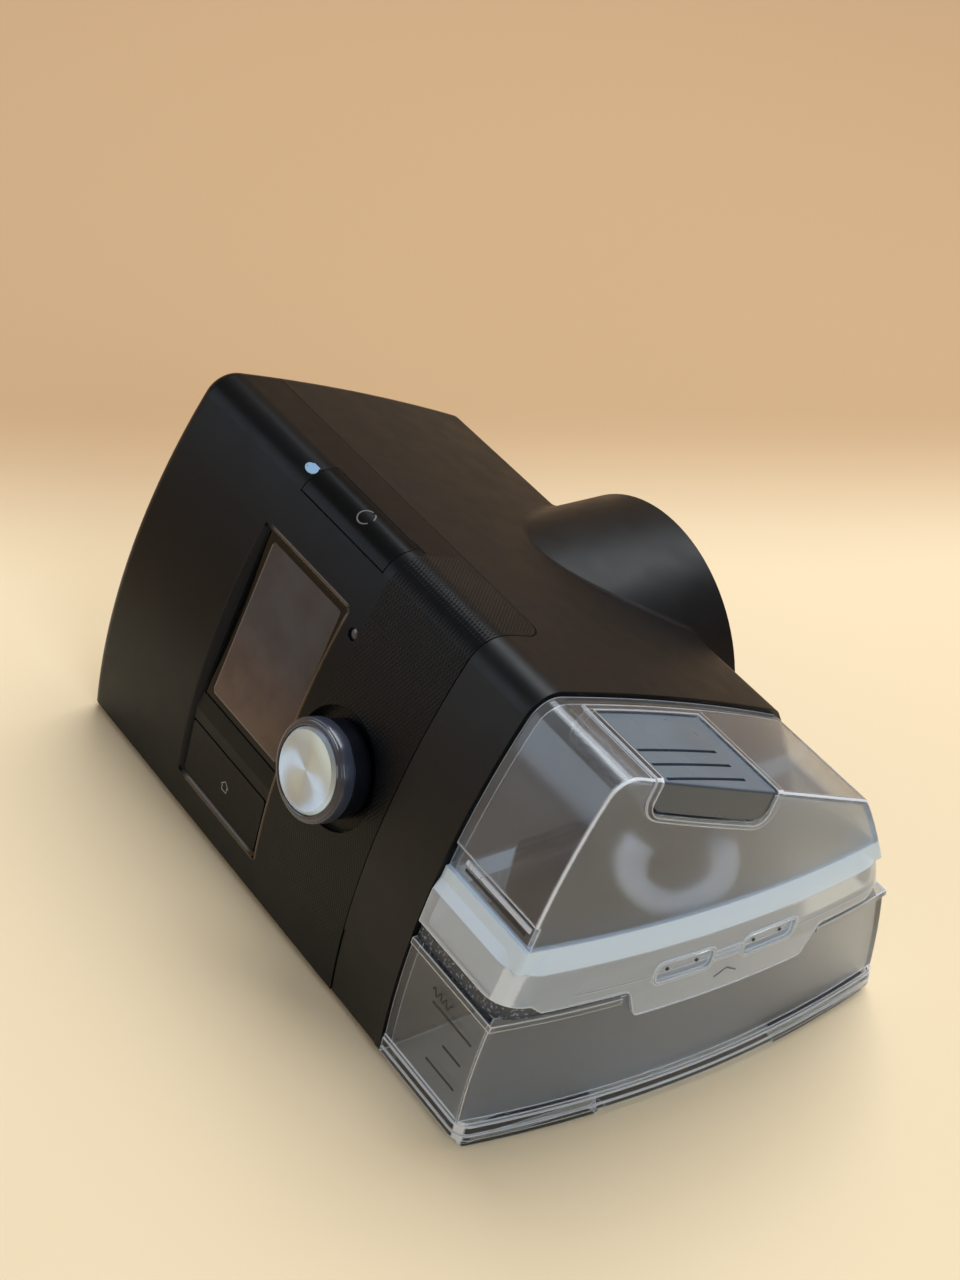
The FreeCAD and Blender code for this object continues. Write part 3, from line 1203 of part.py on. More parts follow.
def tub_lid():
    docked = inner_form(SEAL_TOP, INNER_Z1)
    neck = box(0, 200, FRONT - 5, FRONT + 30, RIM_TOP, RIM_NECK_TOP)
    neck = neck.cut(prism(RIM_NECK_INSET, 0, 200, bottom=0))
    dome = lid_outer().common(box(0, 200, -200, 200, RIM_BAND_TOP, 200)).cut(neck)
    frame = pad_zone(PAD_FRAME_W).cut(pad_zone(0)).common(
        lid_outer(-PAD_FRAME_H).cut(lid_outer(PAD_FRAME_H)))
    tray = pad_zone(TRAY_WALL, PAD_TRAVEL).common(
        lid_solid(0.2).cut(lid_solid(PAD_TRAY_SINK + TRAY_WALL)))
    lid = join([rim_form(), docked, dome]).cut(lid_solid(TUB_WALL).fuse(
        inner_form(SEAL_TOP - 1, INNER_Z1 - TUB_WALL, TUB_WALL)))
    lid = join([lid, rim_apron(), tray, frame] + grip_marks())
    lid = lid.cut(pad_zone(0, PAD_TRAVEL).common(lid_solid(-5).cut(lid_solid(PAD_TRAY_SINK))))
    for y in (PORT_IN_Y, PORT_OUT_Y):
        lid = lid.cut(cyl(PORT_R, V(BAY_X, y, PORT_Z), X, 5))
    for y in SLOT_YS:
        lid = lid.cut(grip_slot(y).cut(bowed_end(RIM_END + SLOT_DEPTH, 0, 0)))
    return lid


def port_seals():
    """Soft rings in the inner wall of the dock, one round each air port."""
    return Part.Compound([ring(PORT_SEAL_R - 0.05, PORT_SEAL_BORE_R,
                               V(BAY_X - BAY_WALL, y, PORT_Z), X, BAY_WALL + BAY_GAP - 0.15)
                          for y in (PORT_IN_Y, PORT_OUT_Y)])


# ---- Rear fittings ------------------------------------------------------------------------
def filter_cover():
    skin = SHELL.common(filter_zone(-SEAM))
    below = box(LEFT, 0, 0, 90, FILTER_Z0, FILTER_PIVOT.z)
    knuckle = cyl(KNUCKLE_R, V(FILTER_X0 + SEAM, FILTER_PIVOT.y, FILTER_PIVOT.z), X,
                  FILTER_X1 - FILTER_X0 - 2 * SEAM)
    grip = box((FILTER_X0 + FILTER_X1) / 2 - 8, (FILTER_X0 + FILTER_X1) / 2 + 8, 0, 90,
               FILTER_Z1 - 3.0, FILTER_Z1).cut(prism(0.9, LEFT, RIGHT, bottom=0))
    return skin.cut(below).fuse(knuckle).cut(grip).cut(filter_pin(PIN_R + FIT, 5))


def air_filter():
    return box(FILTER_X0 + 0.4, FILTER_X1 - 0.4, FILTER_BACK_Y, FILTER_BACK_Y + FILTER_T,
               FILTER_Z0 + 0.4, FILTER_Z1 - 0.4)


def power_inlet():
    end = V(POWER_X, POWER_FLOOR_Y, POWER_Z)
    barrel = ring(JACK_R, JACK_BORE_R, end - Y * JACK_L, Y, JACK_L)
    back = cyl(JACK_R, end - Y * (JACK_L + 1.5), Y, 1.5)
    centre = cyl(0.9, end - Y * JACK_L, Y, JACK_L - 1.5)
    flange = ring(JACK_R + 2, JACK_R - 0.5, end - Y * 3.3, Y, 1.5)
    return join([barrel, back, centre, flange])


def retention_clip():
    y0 = POWER_FLOOR_Y + 0.6
    low = POWER_Z0 + 1.0
    arms = []
    for x in (POWER_X0 + 0.5, POWER_X1 - 3.5):
        arms.append(box(x, x + 3, y0, y0 + CLIP_T, low, CLIP_PIVOT.z))
        arms.append(cyl(KNUCKLE_R, V(x, CLIP_PIVOT.y, CLIP_PIVOT.z), X, 3))
    bar = box(POWER_X0 + 0.5, POWER_X1 - 0.5, y0, y0 + CLIP_T, low, low + 2.4)
    return join(arms + [bar]).cut(clip_pin(PIN_R + FIT, 5))


def sd_card_cover():
    skin = SHELL.common(end_zone(SD_Y0, SD_Y1, SD_Z0, SD_Z1, -SEAM))
    skin = skin.cut(box(LEFT - 5, 0, -90, 90, 0, SD_PIVOT.z))
    knuckle = cyl(KNUCKLE_R, V(SD_PIVOT.x, SD_Y0 + SEAM, SD_PIVOT.z), Y, SD_Y1 - SD_Y0 - 2 * SEAM)
    grip = box(LEFT - 5, end_x(SD_Z1) + 0.8, (SD_Y0 + SD_Y1) / 2 - 5, (SD_Y0 + SD_Y1) / 2 + 5,
               SD_Z1 - 3.0, SD_Z1)
    return skin.fuse(knuckle).cut(grip).cut(sd_pin(PIN_R + FIT, 5))


def adapter_cover():
    skin = SHELL.common(end_zone(ADAPTER_Y0, ADAPTER_Y1, ADAPTER_Z0, ADAPTER_Z1, -SEAM))
    x0 = end_x(ADAPTER_Z0) + WALL - 0.5
    ribs = [box(x0, x0 + 4, y, y + 1.2, ADAPTER_Z0 + 4, ADAPTER_Z1 - 4)
            for y in (ADAPTER_Y0 + 1, ADAPTER_Y1 - 2.2)]
    return join([skin] + ribs)


# ---- The whole machine --------------------------------------------------------------------
DIAL_REACH = FRONT - dial_cap().BoundBox.YMin

PIECES = {
    "front_fascia": front_fascia, "main_case": main_case, "base_cover": base_cover,
    "dock_liner": dock_liner, "outlet_cup": outlet_cup, "filter_tray": filter_tray,
    "power_tray": power_tray,
    "rubber_feet": rubber_feet, "base_screws": base_screws,
    "screen_glass": lcd_glass, "screen_module": lcd_module, "screen_frame": lcd_frame,
    "display_board": display_board, "light_sensor": light_sensor, "light_pipe": light_pipe,
    "home_button": home_button, "home_switch": home_switch,
    "start_stop_button": start_stop_button, "start_switch": start_switch,
    "start_board": start_board,
    "dial_cap": dial_cap, "dial_ring": dial_ring, "dial_skirt": dial_skirt,
    "dial_shaft": dial_shaft, "dial_plunger": dial_plunger, "dial_encoder": encoder,
    "main_board": main_board, "sd_socket": sd_socket, "adapter_socket": adapter_socket,
    "blower_base": lambda: blower_halves()[0], "blower_cover": lambda: blower_halves()[1],
    "blower_bearing": blower_bearing, "blower_motor": motor, "impeller": impeller,
    "motor_shaft": motor_shaft, "blower_mounts": blower_mounts, "blower_duct": blower_duct,
    "outlet_connector": outlet_connector, "outlet_duct": outlet_duct, "port_seals": port_seals,
    "heater_plate": heater_plate, "heater_pad": heater_pad,
    "tub_base": tub_base, "tub_plate": tub_plate, "tub_seal": tub_seal, "tub_lid": tub_lid,
    "latch_pad": latch_pad,
    "air_filter": air_filter, "filter_cover": filter_cover,
    "filter_pin": lambda: filter_pin(PIN_R),
    "power_inlet": power_inlet, "retention_clip": retention_clip,
    "clip_pin": lambda: clip_pin(PIN_R),
    "sd_card_cover": sd_card_cover, "sd_pin": lambda: sd_pin(PIN_R),
    "adapter_cover": adapter_cover,
}

for name, make in PIECES.items():
    save(name, make())
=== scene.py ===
import bpy
import bmesh
import json
import math
from mathutils import Matrix, Vector
from mathutils.bvhtree import BVHTree


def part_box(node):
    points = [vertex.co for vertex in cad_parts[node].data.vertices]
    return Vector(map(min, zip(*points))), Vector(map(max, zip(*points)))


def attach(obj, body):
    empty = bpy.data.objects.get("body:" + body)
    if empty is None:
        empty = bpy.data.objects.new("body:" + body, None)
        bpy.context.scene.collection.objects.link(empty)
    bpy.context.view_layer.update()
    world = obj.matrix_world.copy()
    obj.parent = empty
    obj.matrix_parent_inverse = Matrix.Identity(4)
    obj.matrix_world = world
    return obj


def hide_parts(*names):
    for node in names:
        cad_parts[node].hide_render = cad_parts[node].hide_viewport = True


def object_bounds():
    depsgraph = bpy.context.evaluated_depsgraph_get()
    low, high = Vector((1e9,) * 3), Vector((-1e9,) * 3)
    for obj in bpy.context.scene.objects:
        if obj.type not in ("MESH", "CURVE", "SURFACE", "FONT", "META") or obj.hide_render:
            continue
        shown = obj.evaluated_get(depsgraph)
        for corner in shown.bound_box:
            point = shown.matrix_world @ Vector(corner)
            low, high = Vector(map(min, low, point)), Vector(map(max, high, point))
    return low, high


# A bedside breathing machine with a clear water tub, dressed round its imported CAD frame.
# Everything is in metres, in the frame of the CAD part: X to the tub, Y to the back, Z up.
# at() takes millimetres from the foot of the housings' middle, as the part's own sizes do.

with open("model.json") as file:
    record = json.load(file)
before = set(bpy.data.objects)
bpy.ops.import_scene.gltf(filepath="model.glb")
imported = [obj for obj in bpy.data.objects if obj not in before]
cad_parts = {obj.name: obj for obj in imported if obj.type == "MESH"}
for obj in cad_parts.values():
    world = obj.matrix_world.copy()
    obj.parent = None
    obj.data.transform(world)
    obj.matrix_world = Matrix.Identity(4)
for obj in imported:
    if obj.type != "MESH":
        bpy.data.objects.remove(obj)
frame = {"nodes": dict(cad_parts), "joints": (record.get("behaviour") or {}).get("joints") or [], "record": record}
cad_low, cad_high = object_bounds()
MM = 0.001
case_low, case_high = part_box("main_case")
MIDDLE = Vector(((cad_low[0] + cad_high[0]) / 2, (case_low[1] + case_high[1]) / 2, 0.0))
JOINTS = {joint["name"]: joint for joint in frame["joints"]}
SLOT_OF = {part["node"]: part["material_slot"] for part in frame["record"]["subparts"]}


def at(x, y, z):
    """Place in metres of body millimetres."""
    return MIDDLE + Vector((x, y, z)) * MM


# ---- Camera -------------------------------------------------------------------------------
CAMERA_AT = Vector((387.022, -385.966, 462.497)) * MM
CAMERA_AZIMUTH = 46.300
CAMERA_ELEVATION = 35.282
CAMERA_ROLL = 13.988
CAMERA_LENS = 67.58


def make_camera():
    """The photograph's view."""
    data = bpy.data.cameras.new("view")
    data.lens = CAMERA_LENS
    data.sensor_width = 36.0
    data.clip_start = 0.01
    data.clip_end = 50.0
    camera = bpy.data.objects.new("view", data)
    bpy.context.scene.collection.objects.link(camera)
    a, e = math.radians(CAMERA_AZIMUTH), math.radians(CAMERA_ELEVATION)
    back = Vector((math.sin(a) * math.cos(e), -math.cos(a) * math.cos(e), math.sin(e)))
    right = Vector((0, 0, 1)).cross(back).normalized()
    level = Matrix((right, back.cross(right), back)).transposed()
    turn = Matrix.Rotation(math.radians(CAMERA_ROLL), 3, "Z")
    camera.matrix_world = Matrix.Translation(CAMERA_AT) @ (level @ turn).to_4x4()
    bpy.context.scene.camera = camera


# ---- Floor, backdrop and light ------------------------------------------------------------
FLOOR_LIT_POOL = (0.92, 0.74, 0.49)     # paper round the machine, painted pale as a pool of light
FLOOR_SHADE = (0.60, 0.395, 0.22)     # painted shade on the paper beyond it
FLOOR_FAR = (0.84, 0.66, 0.46)      # backdrop all round
LIGHT_POOL_AT = Vector((0.10, 0.06, 0.0))
LIGHT_POOL_FADE = (0.40, 0.50)           # the painted pool of light ends between these radii round LIGHT_POOL_AT
LIGHT_POOL_SIDES = (                     # and between these distances along two directions
    ((-0.951, 0.309, 0.0), 0.130, 0.250),
    ((-0.444, -0.896, 0.0), 0.160, 0.230),
)
FAR_FADE = (0.75, 1.9)              # radii over which the paper turns into the backdrop
DISH_FLAT = 2.0                     # flat radius, then the paper curves up all round
DISH_BEND = 0.6
DISH_TOP = 1.9
DISH_STEPS = 16
DISH_SIDES = 96
LAMP_AIM = Vector((0.0, 0.0, 0.05))
LAMPS = (                           # name, place, size, watts, colour
    ("overhead", (-0.32, 0.50, 1.41), (1.2, 1.0), 20.5, (0.90, 0.95, 1.0)),
    ("left_window", (-0.95, -1.20, 0.50), (0.9, 0.9), 4.5, (0.62, 0.80, 1.0)),
    ("right_window", (1.25, -0.35, 0.95), (0.7, 0.7), 8.0, (0.56, 0.78, 1.0)),
)
ROOM_COLOUR = (0.82, 0.74, 0.64, 1)
ROOM_STRENGTH = 0.34


def make_stage():
    """Round floor whose rim curves up into a backdrop on every side."""
    profile = [(0.0, 0.0), (0.5, 0.0), (1.0, 0.0), (DISH_FLAT, 0.0)]
    for i in range(1, DISH_STEPS + 1):
        turn = math.pi / 2 * i / DISH_STEPS
        profile.append((DISH_FLAT + DISH_BEND * math.sin(turn),
                        DISH_BEND - DISH_BEND * math.cos(turn)))
    profile.append((DISH_FLAT + DISH_BEND, DISH_TOP))
    dish = turned_mesh("dish", profile, DISH_SIDES)
    dish.materials.append(floor_material())
    stage = bpy.data.objects.new("dish", dish)
    bpy.context.scene.collection.objects.link(stage)


def area_light(name, place, size, power, colour):
    """Lamp at a place in metres, aimed at the machine."""
    data = bpy.data.lights.new(name, "AREA")
    data.shape = "RECTANGLE"
    data.size, data.size_y = size
    data.energy = power
    data.color = colour
    light = bpy.data.objects.new(name, data)
    bpy.context.scene.collection.objects.link(light)
    light.location = place
    light.rotation_euler = (LAMP_AIM - light.location).to_track_quat("-Z", "Y").to_euler()


def make_lights():
    """The lamps and the light of the room."""
    for lamp in LAMPS:
        area_light(*lamp)
    world = bpy.data.worlds.new("studio")
    bpy.context.scene.world = world
    world.use_nodes = True
    shade = world.node_tree.nodes["Background"]
    shade.inputs["Color"].default_value = ROOM_COLOUR
    shade.inputs["Strength"].default_value = ROOM_STRENGTH


# ---- Materials ----------------------------------------------------------------------------
class Shade:
    """A node material under construction."""

    def __init__(self, name, **sockets):
        self.mat = bpy.data.materials.new(name)
        self.mat.use_nodes = True
        self.tree = self.mat.node_tree
        self.bsdf = self.tree.nodes["Principled BSDF"]
        self.coords = self.node("ShaderNodeTexCoord").outputs["Object"]
        self.set(**sockets)

    def set(self, **sockets):
        """Set sockets of the shader, named with _ for each space."""
        for key, value in sockets.items():
            socket = self.bsdf.inputs[key.replace("_", " ")]
            socket.default_value = (*value, 1.0) if isinstance(value, tuple) else value

    def node(self, kind, links=None, **values):
        """New node: links join its inputs, values set inputs or its own properties."""
        made = self.tree.nodes.new(kind)
        for key, value in values.items():
            if key in made.inputs:
                made.inputs[key].default_value = value
            else:
                setattr(made, key, value)
        for key, source in (links or {}).items():
            self.tree.links.new(source, made.inputs[key])
        return made

    def link(self, source, socket):
        self.tree.links.new(source, self.bsdf.inputs[socket])

    def maths(self, operation, *sources):
        """Result of a Math node on sockets or numbers."""
        made = self.node("ShaderNodeMath", operation=operation)
        for i, source in enumerate(sources):
            if isinstance(source, (int, float)):
                made.inputs[i].default_value = source
            else:
                self.tree.links.new(source, made.inputs[i])
        return made.outputs[0]

    def noise(self, size, detail=3.0):
        """Noise whose blobs are about size metres across."""
        links = {"Vector": self.coords}
        made = self.node("ShaderNodeTexNoise", links, Scale=1 / size, Detail=detail)
        return made.outputs["Fac"]

    def plain(self, socket):
        """What is linked to a socket of the shader now."""
        return self.bsdf.inputs[socket].links[0].from_socket

    def axis(self, letter, source=None):
        """One coordinate of the place, or of another vector."""
        parts = self.node("ShaderNodeSeparateXYZ", {"Vector": source or self.coords})
        return parts.outputs[letter]

    def facing(self, letter):
        """One coordinate of the object's own normal."""
        return self.axis(letter, self.node("ShaderNodeTexCoord").outputs["Normal"])

    def along(self, direction):
        """How far the place lies along a direction."""
        made = self.node("ShaderNodeVectorMath", {0: self.coords}, operation="DOT_PRODUCT")
        made.inputs[1].default_value = direction
        return made.outputs["Value"]

    def window(self, source, low, high, soft):
        """1 between low and high, falling to 0 over soft on each side."""
        up = self.ease(source, low - soft, low)
        down = self.ease(source, high, high + soft, 1.0, 0.0)
        return self.maths("MULTIPLY", up, down)

    def ease(self, source, start, stop, low=0.0, high=1.0):
        """Smooth step from low at start to high at stop."""
        made = self.node("ShaderNodeMapRange", {"Value": source}, interpolation_type="SMOOTHSTEP")
        made.inputs["From Min"].default_value = start
        made.inputs["From Max"].default_value = stop
        made.inputs["To Min"].default_value = low
        made.inputs["To Max"].default_value = high
        return made.outputs["Result"]

    def ramp(self, source, low, high, start=0.3, stop=0.7):
        """Colour ramp from low at start to high at stop."""
        made = self.node("ShaderNodeValToRGB", {"Fac": source})
        ends = made.color_ramp.elements
        ends[0].position, ends[1].position = start, stop
        ends[0].color, ends[1].color = (*low, 1), (*high, 1)
        return made.outputs["Color"]

    def mix(self, share, first, second):
        """Mix of two colours, each a socket or an RGB tuple."""
        made = self.node("ShaderNodeMix", data_type="RGBA")
        self.tree.links.new(share, made.inputs["Factor"])
        for socket, source in ((made.inputs[6], first), (made.inputs[7], second)):
            if isinstance(source, tuple):
                socket.default_value = (*source, 1.0)
            else:
                self.tree.links.new(source, socket)
        return made.outputs[2]

    def bump(self, source, height, normal):
        """Normal of a surface raised by up to height where the source is 1."""
        links = {"Height": source, "Normal": normal}
        return self.node("ShaderNodeBump", links, Strength=1.0, Distance=height).outputs[0]

    def soft_edges(self, radius):
        """Normal that rounds the edges off by a radius."""
        made = self.node("ShaderNodeBevel", samples=6)
        made.inputs["Radius"].default_value = radius
        return made.outputs[0]

    def edge_share(self, radius):
        """1 along edges, where the softened normal turns away from the true one."""
        true = self.node("ShaderNodeNewGeometry").outputs["Normal"]
        made = self.node("ShaderNodeVectorMath", operation="DOT_PRODUCT")
        self.tree.links.new(self.soft_edges(radius), made.inputs[0])
        self.tree.links.new(true, made.inputs[1])
        return self.ease(made.outputs["Value"], 0.88, 0.995, 1.0, 0.0)

    def let_light_through(self, share):
        """Lamps shine through by this share, as they do through thin clear plastic."""
        shadow = self.node("ShaderNodeLightPath").outputs["Is Shadow Ray"]
        clear = self.node("ShaderNodeBsdfTransparent")
        blend = self.node("ShaderNodeMixShader", {"Fac": self.maths("MULTIPLY", shadow, share)})
        self.tree.links.new(self.bsdf.outputs[0], blend.inputs[1])
        self.tree.links.new(clear.outputs[0], blend.inputs[2])
        out = self.tree.nodes["Material Output"]
        self.tree.links.new(blend.outputs[0], out.inputs["Surface"])


EDGE_SOFT = 0.3 * MM         # radius that softens a moulded edge
COLOUR_SHIFT = 0.12          # share by which a colour wanders to each side
GLOSS_SHIFT = 0.12


def moulded(name, colour, rough, grain=0.00025, depth=0.00001, **more):
    """Moulded plastic with a fine grain, slow patches in its gloss and softened edges."""
    s = Shade(name, **more)
    lighter = tuple(c * (1 + COLOUR_SHIFT) + 0.0005 for c in colour)
    darker = tuple(c * (1 - COLOUR_SHIFT) for c in colour)
    s.link(s.ramp(s.noise(0.02), darker, lighter), "Base Color")
    low, high = rough * (1 - GLOSS_SHIFT), rough * (1 + GLOSS_SHIFT)
    s.link(s.ease(s.noise(0.008, 4.0), 0.2, 0.8, low, high), "Roughness")
    s.link(s.bump(s.noise(grain, 2.0), depth, s.soft_edges(EDGE_SOFT)), "Normal")
    return s


def floor_material():
    """Matt paper with a painted pool of light round the machine and painted shade beyond it, paling again into the
    backdrop.
    """
    s = Shade("floor_paper", Roughness=0.9, Specular_IOR_Level=0.1)
    away = s.node("ShaderNodeVectorMath", {0: s.coords}, operation="DISTANCE")
    away.inputs[1].default_value = LIGHT_POOL_AT
    away = away.outputs["Value"]
    beyond = s.mix(s.ease(away, *FAR_FADE), FLOOR_SHADE, FLOOR_FAR)
    # painted shade: 0 in the pool of light round the machine, 1 beyond it
    dark = s.ease(away, *LIGHT_POOL_FADE)
    for direction, start, stop in LIGHT_POOL_SIDES:
        dark = s.maths("MAXIMUM", dark, s.ease(s.along(direction), start, stop))
    colour = s.mix(dark, FLOOR_LIT_POOL, beyond)
    s.link(s.mix(s.ease(s.noise(0.25), 0.3, 0.7, 0.0, 0.05), colour, FLOOR_SHADE), "Base Color")
    return s.mat


DOT_PITCH = 1.15 * MM
DOT_ROWS = 0.72              # rows up the face for each row across it
DOT_HEIGHT = 0.14 * MM
DOTS_X0, DOTS_X1 = at(-2, 0, 0).x, at(32.5, 0, 0).x
DOTS_Z0, DOTS_Z1 = 22 * MM, 130 * MM
DOTS_TOP = at(0, -62, 0).y, at(0, -58, 0).y
DOTS_ON_FACE = 0.35          # share of their height that the dots on the front face have


def fascia_material():
    """Satin black with rows of tiny dots right of the start key and round the dial."""
    # the blue cast of this black is painted, standing in for the cool light reflected by the front
    s = moulded("fascia_black", (0.0016, 0.0026, 0.0040), 0.34, Specular_IOR_Level=0.16)
    x, y, z = (s.axis(letter) for letter in "XYZ")
    turn = 2 * math.pi / DOT_PITCH
    rise = s.maths("SUBTRACT", z, y)
    row = s.maths("SINE", s.maths("MULTIPLY", x, turn))
    column = s.maths("SINE", s.maths("MULTIPLY", rise, turn * DOT_ROWS))
    dots = s.maths("MAXIMUM", s.maths("MULTIPLY", row, column), 0.0)
    across = s.window(x, DOTS_X0, DOTS_X1, 1 * MM)
    height = s.window(z, DOTS_Z0, DOTS_Z1, 12 * MM)
    field = s.maths("MULTIPLY", across, height)
    top = s.ease(y, *DOTS_TOP, DOTS_ON_FACE, 1.0)
    dots = s.maths("MULTIPLY", dots, s.maths("MULTIPLY", field, top))
    s.link(s.bump(dots, DOT_HEIGHT, s.plain("Normal")), "Normal")
    return s


END_FACING = 0.80, 0.95      # walls that face the tub's end this much are frosted
END_FROST = 0.30
ROUND_EDGE = 0.35, 0.75      # facings of a rounded edge between the front or back and the end
# share of painted highlight laid on that rounded edge
ROUND_HIGHLIGHT = 0.9
EDGE_HIGHLIGHT_W = 0.8 * MM       # how near an edge the painted highlight reaches, and how strong it is
EDGE_HIGHLIGHT = 0.8
# colour of the painted highlights
HIGHLIGHT_TINT = (0.93, 0.96, 1.0)
LEDGE_Z0 = 60.5 * MM         # the ledge over the lid's rim band
LEDGE_Z1 = 66.8 * MM
LEDGE_SOFT = 0.8 * MM
LEDGE_HAZE = 0.80
LEDGE_FROST = 0.20
# bluish white painted on the hazy ledge and band as the reflection of cool sky light
LEDGE_SKY_TINT = (0.74, 0.88, 1.0)
BAND_HAZE = 0.40, 0.28       # the band below it, on the front and at the end
BAND_TURN = -0.9, -0.4       # facings between which the one haze turns into the other
LIGHT_THROUGH = 0.28


def clear_plastic(name, tint, milk, rough=0.08, frosted=(0.0, 1.0), ledge=False):
    """Clear polycarbonate whose edges and rounded corners are painted whiter, as highlights.

    milk is its haze and frosted the range of heights in which its end walls are frosted.
    ledge adds the hazy ledge and band of the lid's rim, tinted with a painted reflection of cool sky light.
    """
    s = Shade(name, IOR=1.45, Specular_IOR_Level=0.5)
    outward, height = s.facing("X"), s.axis("Z")
    end_wall = s.maths("MULTIPLY", s.ease(outward, *END_FACING),
                       s.window(height, *frosted, 0.5 * MM))
    # painted highlight along the edges and over the rounded corners: whiter and less clear
    round_highlight = s.maths("MULTIPLY", s.window(outward, *ROUND_EDGE, 0.12), ROUND_HIGHLIGHT)
    rim = s.maths("MAXIMUM", s.edge_share(EDGE_HIGHLIGHT_W), round_highlight)
    roughness = s.ease(s.noise(0.012, 4.0), 0.2, 0.8, rough * 0.85, rough * 1.15)
    roughness = s.maths("ADD", roughness, s.maths("MULTIPLY", end_wall, END_FROST))
    haze = s.ease(s.noise(0.03), 0.2, 0.8, milk * 0.8, milk * 1.2)
    colour = s.mix(rim, tint, HIGHLIGHT_TINT)
    if ledge:
        share = s.window(height, LEDGE_Z0, LEDGE_Z1, LEDGE_SOFT)
        band = s.maths("MULTIPLY", s.ease(s.facing("Y"), *BAND_TURN, *BAND_HAZE),
                       s.window(height, 0.0, LEDGE_Z0, LEDGE_SOFT))
        haze = s.maths("MAXIMUM", haze, s.maths("MULTIPLY", share, LEDGE_HAZE))
        haze = s.maths("MAXIMUM", haze, band)
        roughness = s.maths("MAXIMUM", roughness, s.maths("MULTIPLY", share, LEDGE_FROST))
        # painted reflection: the ledge and band take the bluish white
        colour = s.mix(s.maths("MAXIMUM", share, band), colour, LEDGE_SKY_TINT)
    solid = s.maths("MAXIMUM", haze, s.maths("MULTIPLY", rim, EDGE_HIGHLIGHT))
    s.link(colour, "Base Color")
    s.link(roughness, "Roughness")
    s.link(s.maths("SUBTRACT", 1.0, solid), "Transmission Weight")
    s.link(s.bump(s.noise(0.002, 2.0), 0.000002, s.soft_edges(EDGE_SOFT)), "Normal")
    s.let_light_through(LIGHT_THROUGH)
    return s


def spun_metal():
    """Metal turned on a lathe, whose sheen runs as a cone from its middle."""
    s = Shade("dial_metal", Metallic=1.0, Anisotropic=0.9)
    # the blue in its colour is a painted reflection of cool light, set against the warm floor it mirrors
    s.link(s.ramp(s.noise(0.004), (0.60, 0.77, 0.98), (0.64, 0.81, 1.0)), "Base Color")
    s.link(s.ease(s.noise(0.004), 0.2, 0.8, 0.33, 0.37), "Roughness")
    s.link(s.soft_edges(0.00015), "Normal")
    s.link(s.node("ShaderNodeTangent", direction_type="RADIAL", axis="Z").outputs[0], "Tangent")
    return s


def latch_material():
    """Blue-grey pad whose face towards the tub's end is painted darker, as shade."""
    s = moulded("latch_blue", (0.122, 0.168, 0.212), 0.30, Coat_Weight=0.4, Coat_Roughness=0.14)
    # painted shade on the face turned towards the tub's end
    face = s.ease(s.facing("X"), 0.35, 0.85)
    s.link(s.mix(face, s.plain("Base Color"), (0.040, 0.058, 0.080)), "Base Color")
    return s


def seal_material():
    """Dark rubber with pale specks."""
    s = moulded("tub_seal", (0.048, 0.054, 0.064), 0.50)
    specks = s.ease(s.noise(0.0009, 1.0), 0.56, 0.66)
    s.link(s.mix(specks, s.plain("Base Color"), (0.22, 0.26, 0.33)), "Base Color")
    return s


def rim_material():
    """Gloss slope round the display, bronze as a painted reflection of the tan floor and near black on its left
    side as painted shade.
    """
    # the bronze colour is a painted reflection of the tan floor
    s = moulded("rim_gloss", (0.045, 0.027, 0.013), 0.22)
    # painted shade: the left side, shaded by the recess wall, turns near black and dull
    right = s.ease(s.axis("X"), at(-50, 0, 0).x, at(-46, 0, 0).x)
    s.link(s.mix(right, (0.0015, 0.0015, 0.0018), s.plain("Base Color")), "Base Color")
    s.link(s.maths("SUBTRACT", 0.85, s.maths("MULTIPLY", right, 0.63)), "Roughness")
    return s


def lcd_material():
    """Unlit display behind gloss glass: grey, with a painted reflection of the warm floor that turns it lighter
    and browner towards its foot.
    """
    s = Shade("lcd_glass", Roughness=0.09, Specular_IOR_Level=0.26)
    low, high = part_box("screen_glass")
    rise = s.ease(s.axis("Z"), low[2], high[2])
    # painted reflection: lighter and browner towards the foot
    colour = s.ramp(rise, (0.130, 0.090, 0.074), (0.068, 0.070, 0.084), 0.0, 0.60)
    cloud = s.ease(s.noise(0.009, 4.0), 0.35, 0.75, 0.0, 0.45)
    s.link(s.mix(cloud, colour, (0.040, 0.032, 0.032)), "Base Color")
    s.link(s.soft_edges(0.0001), "Normal")
    return s


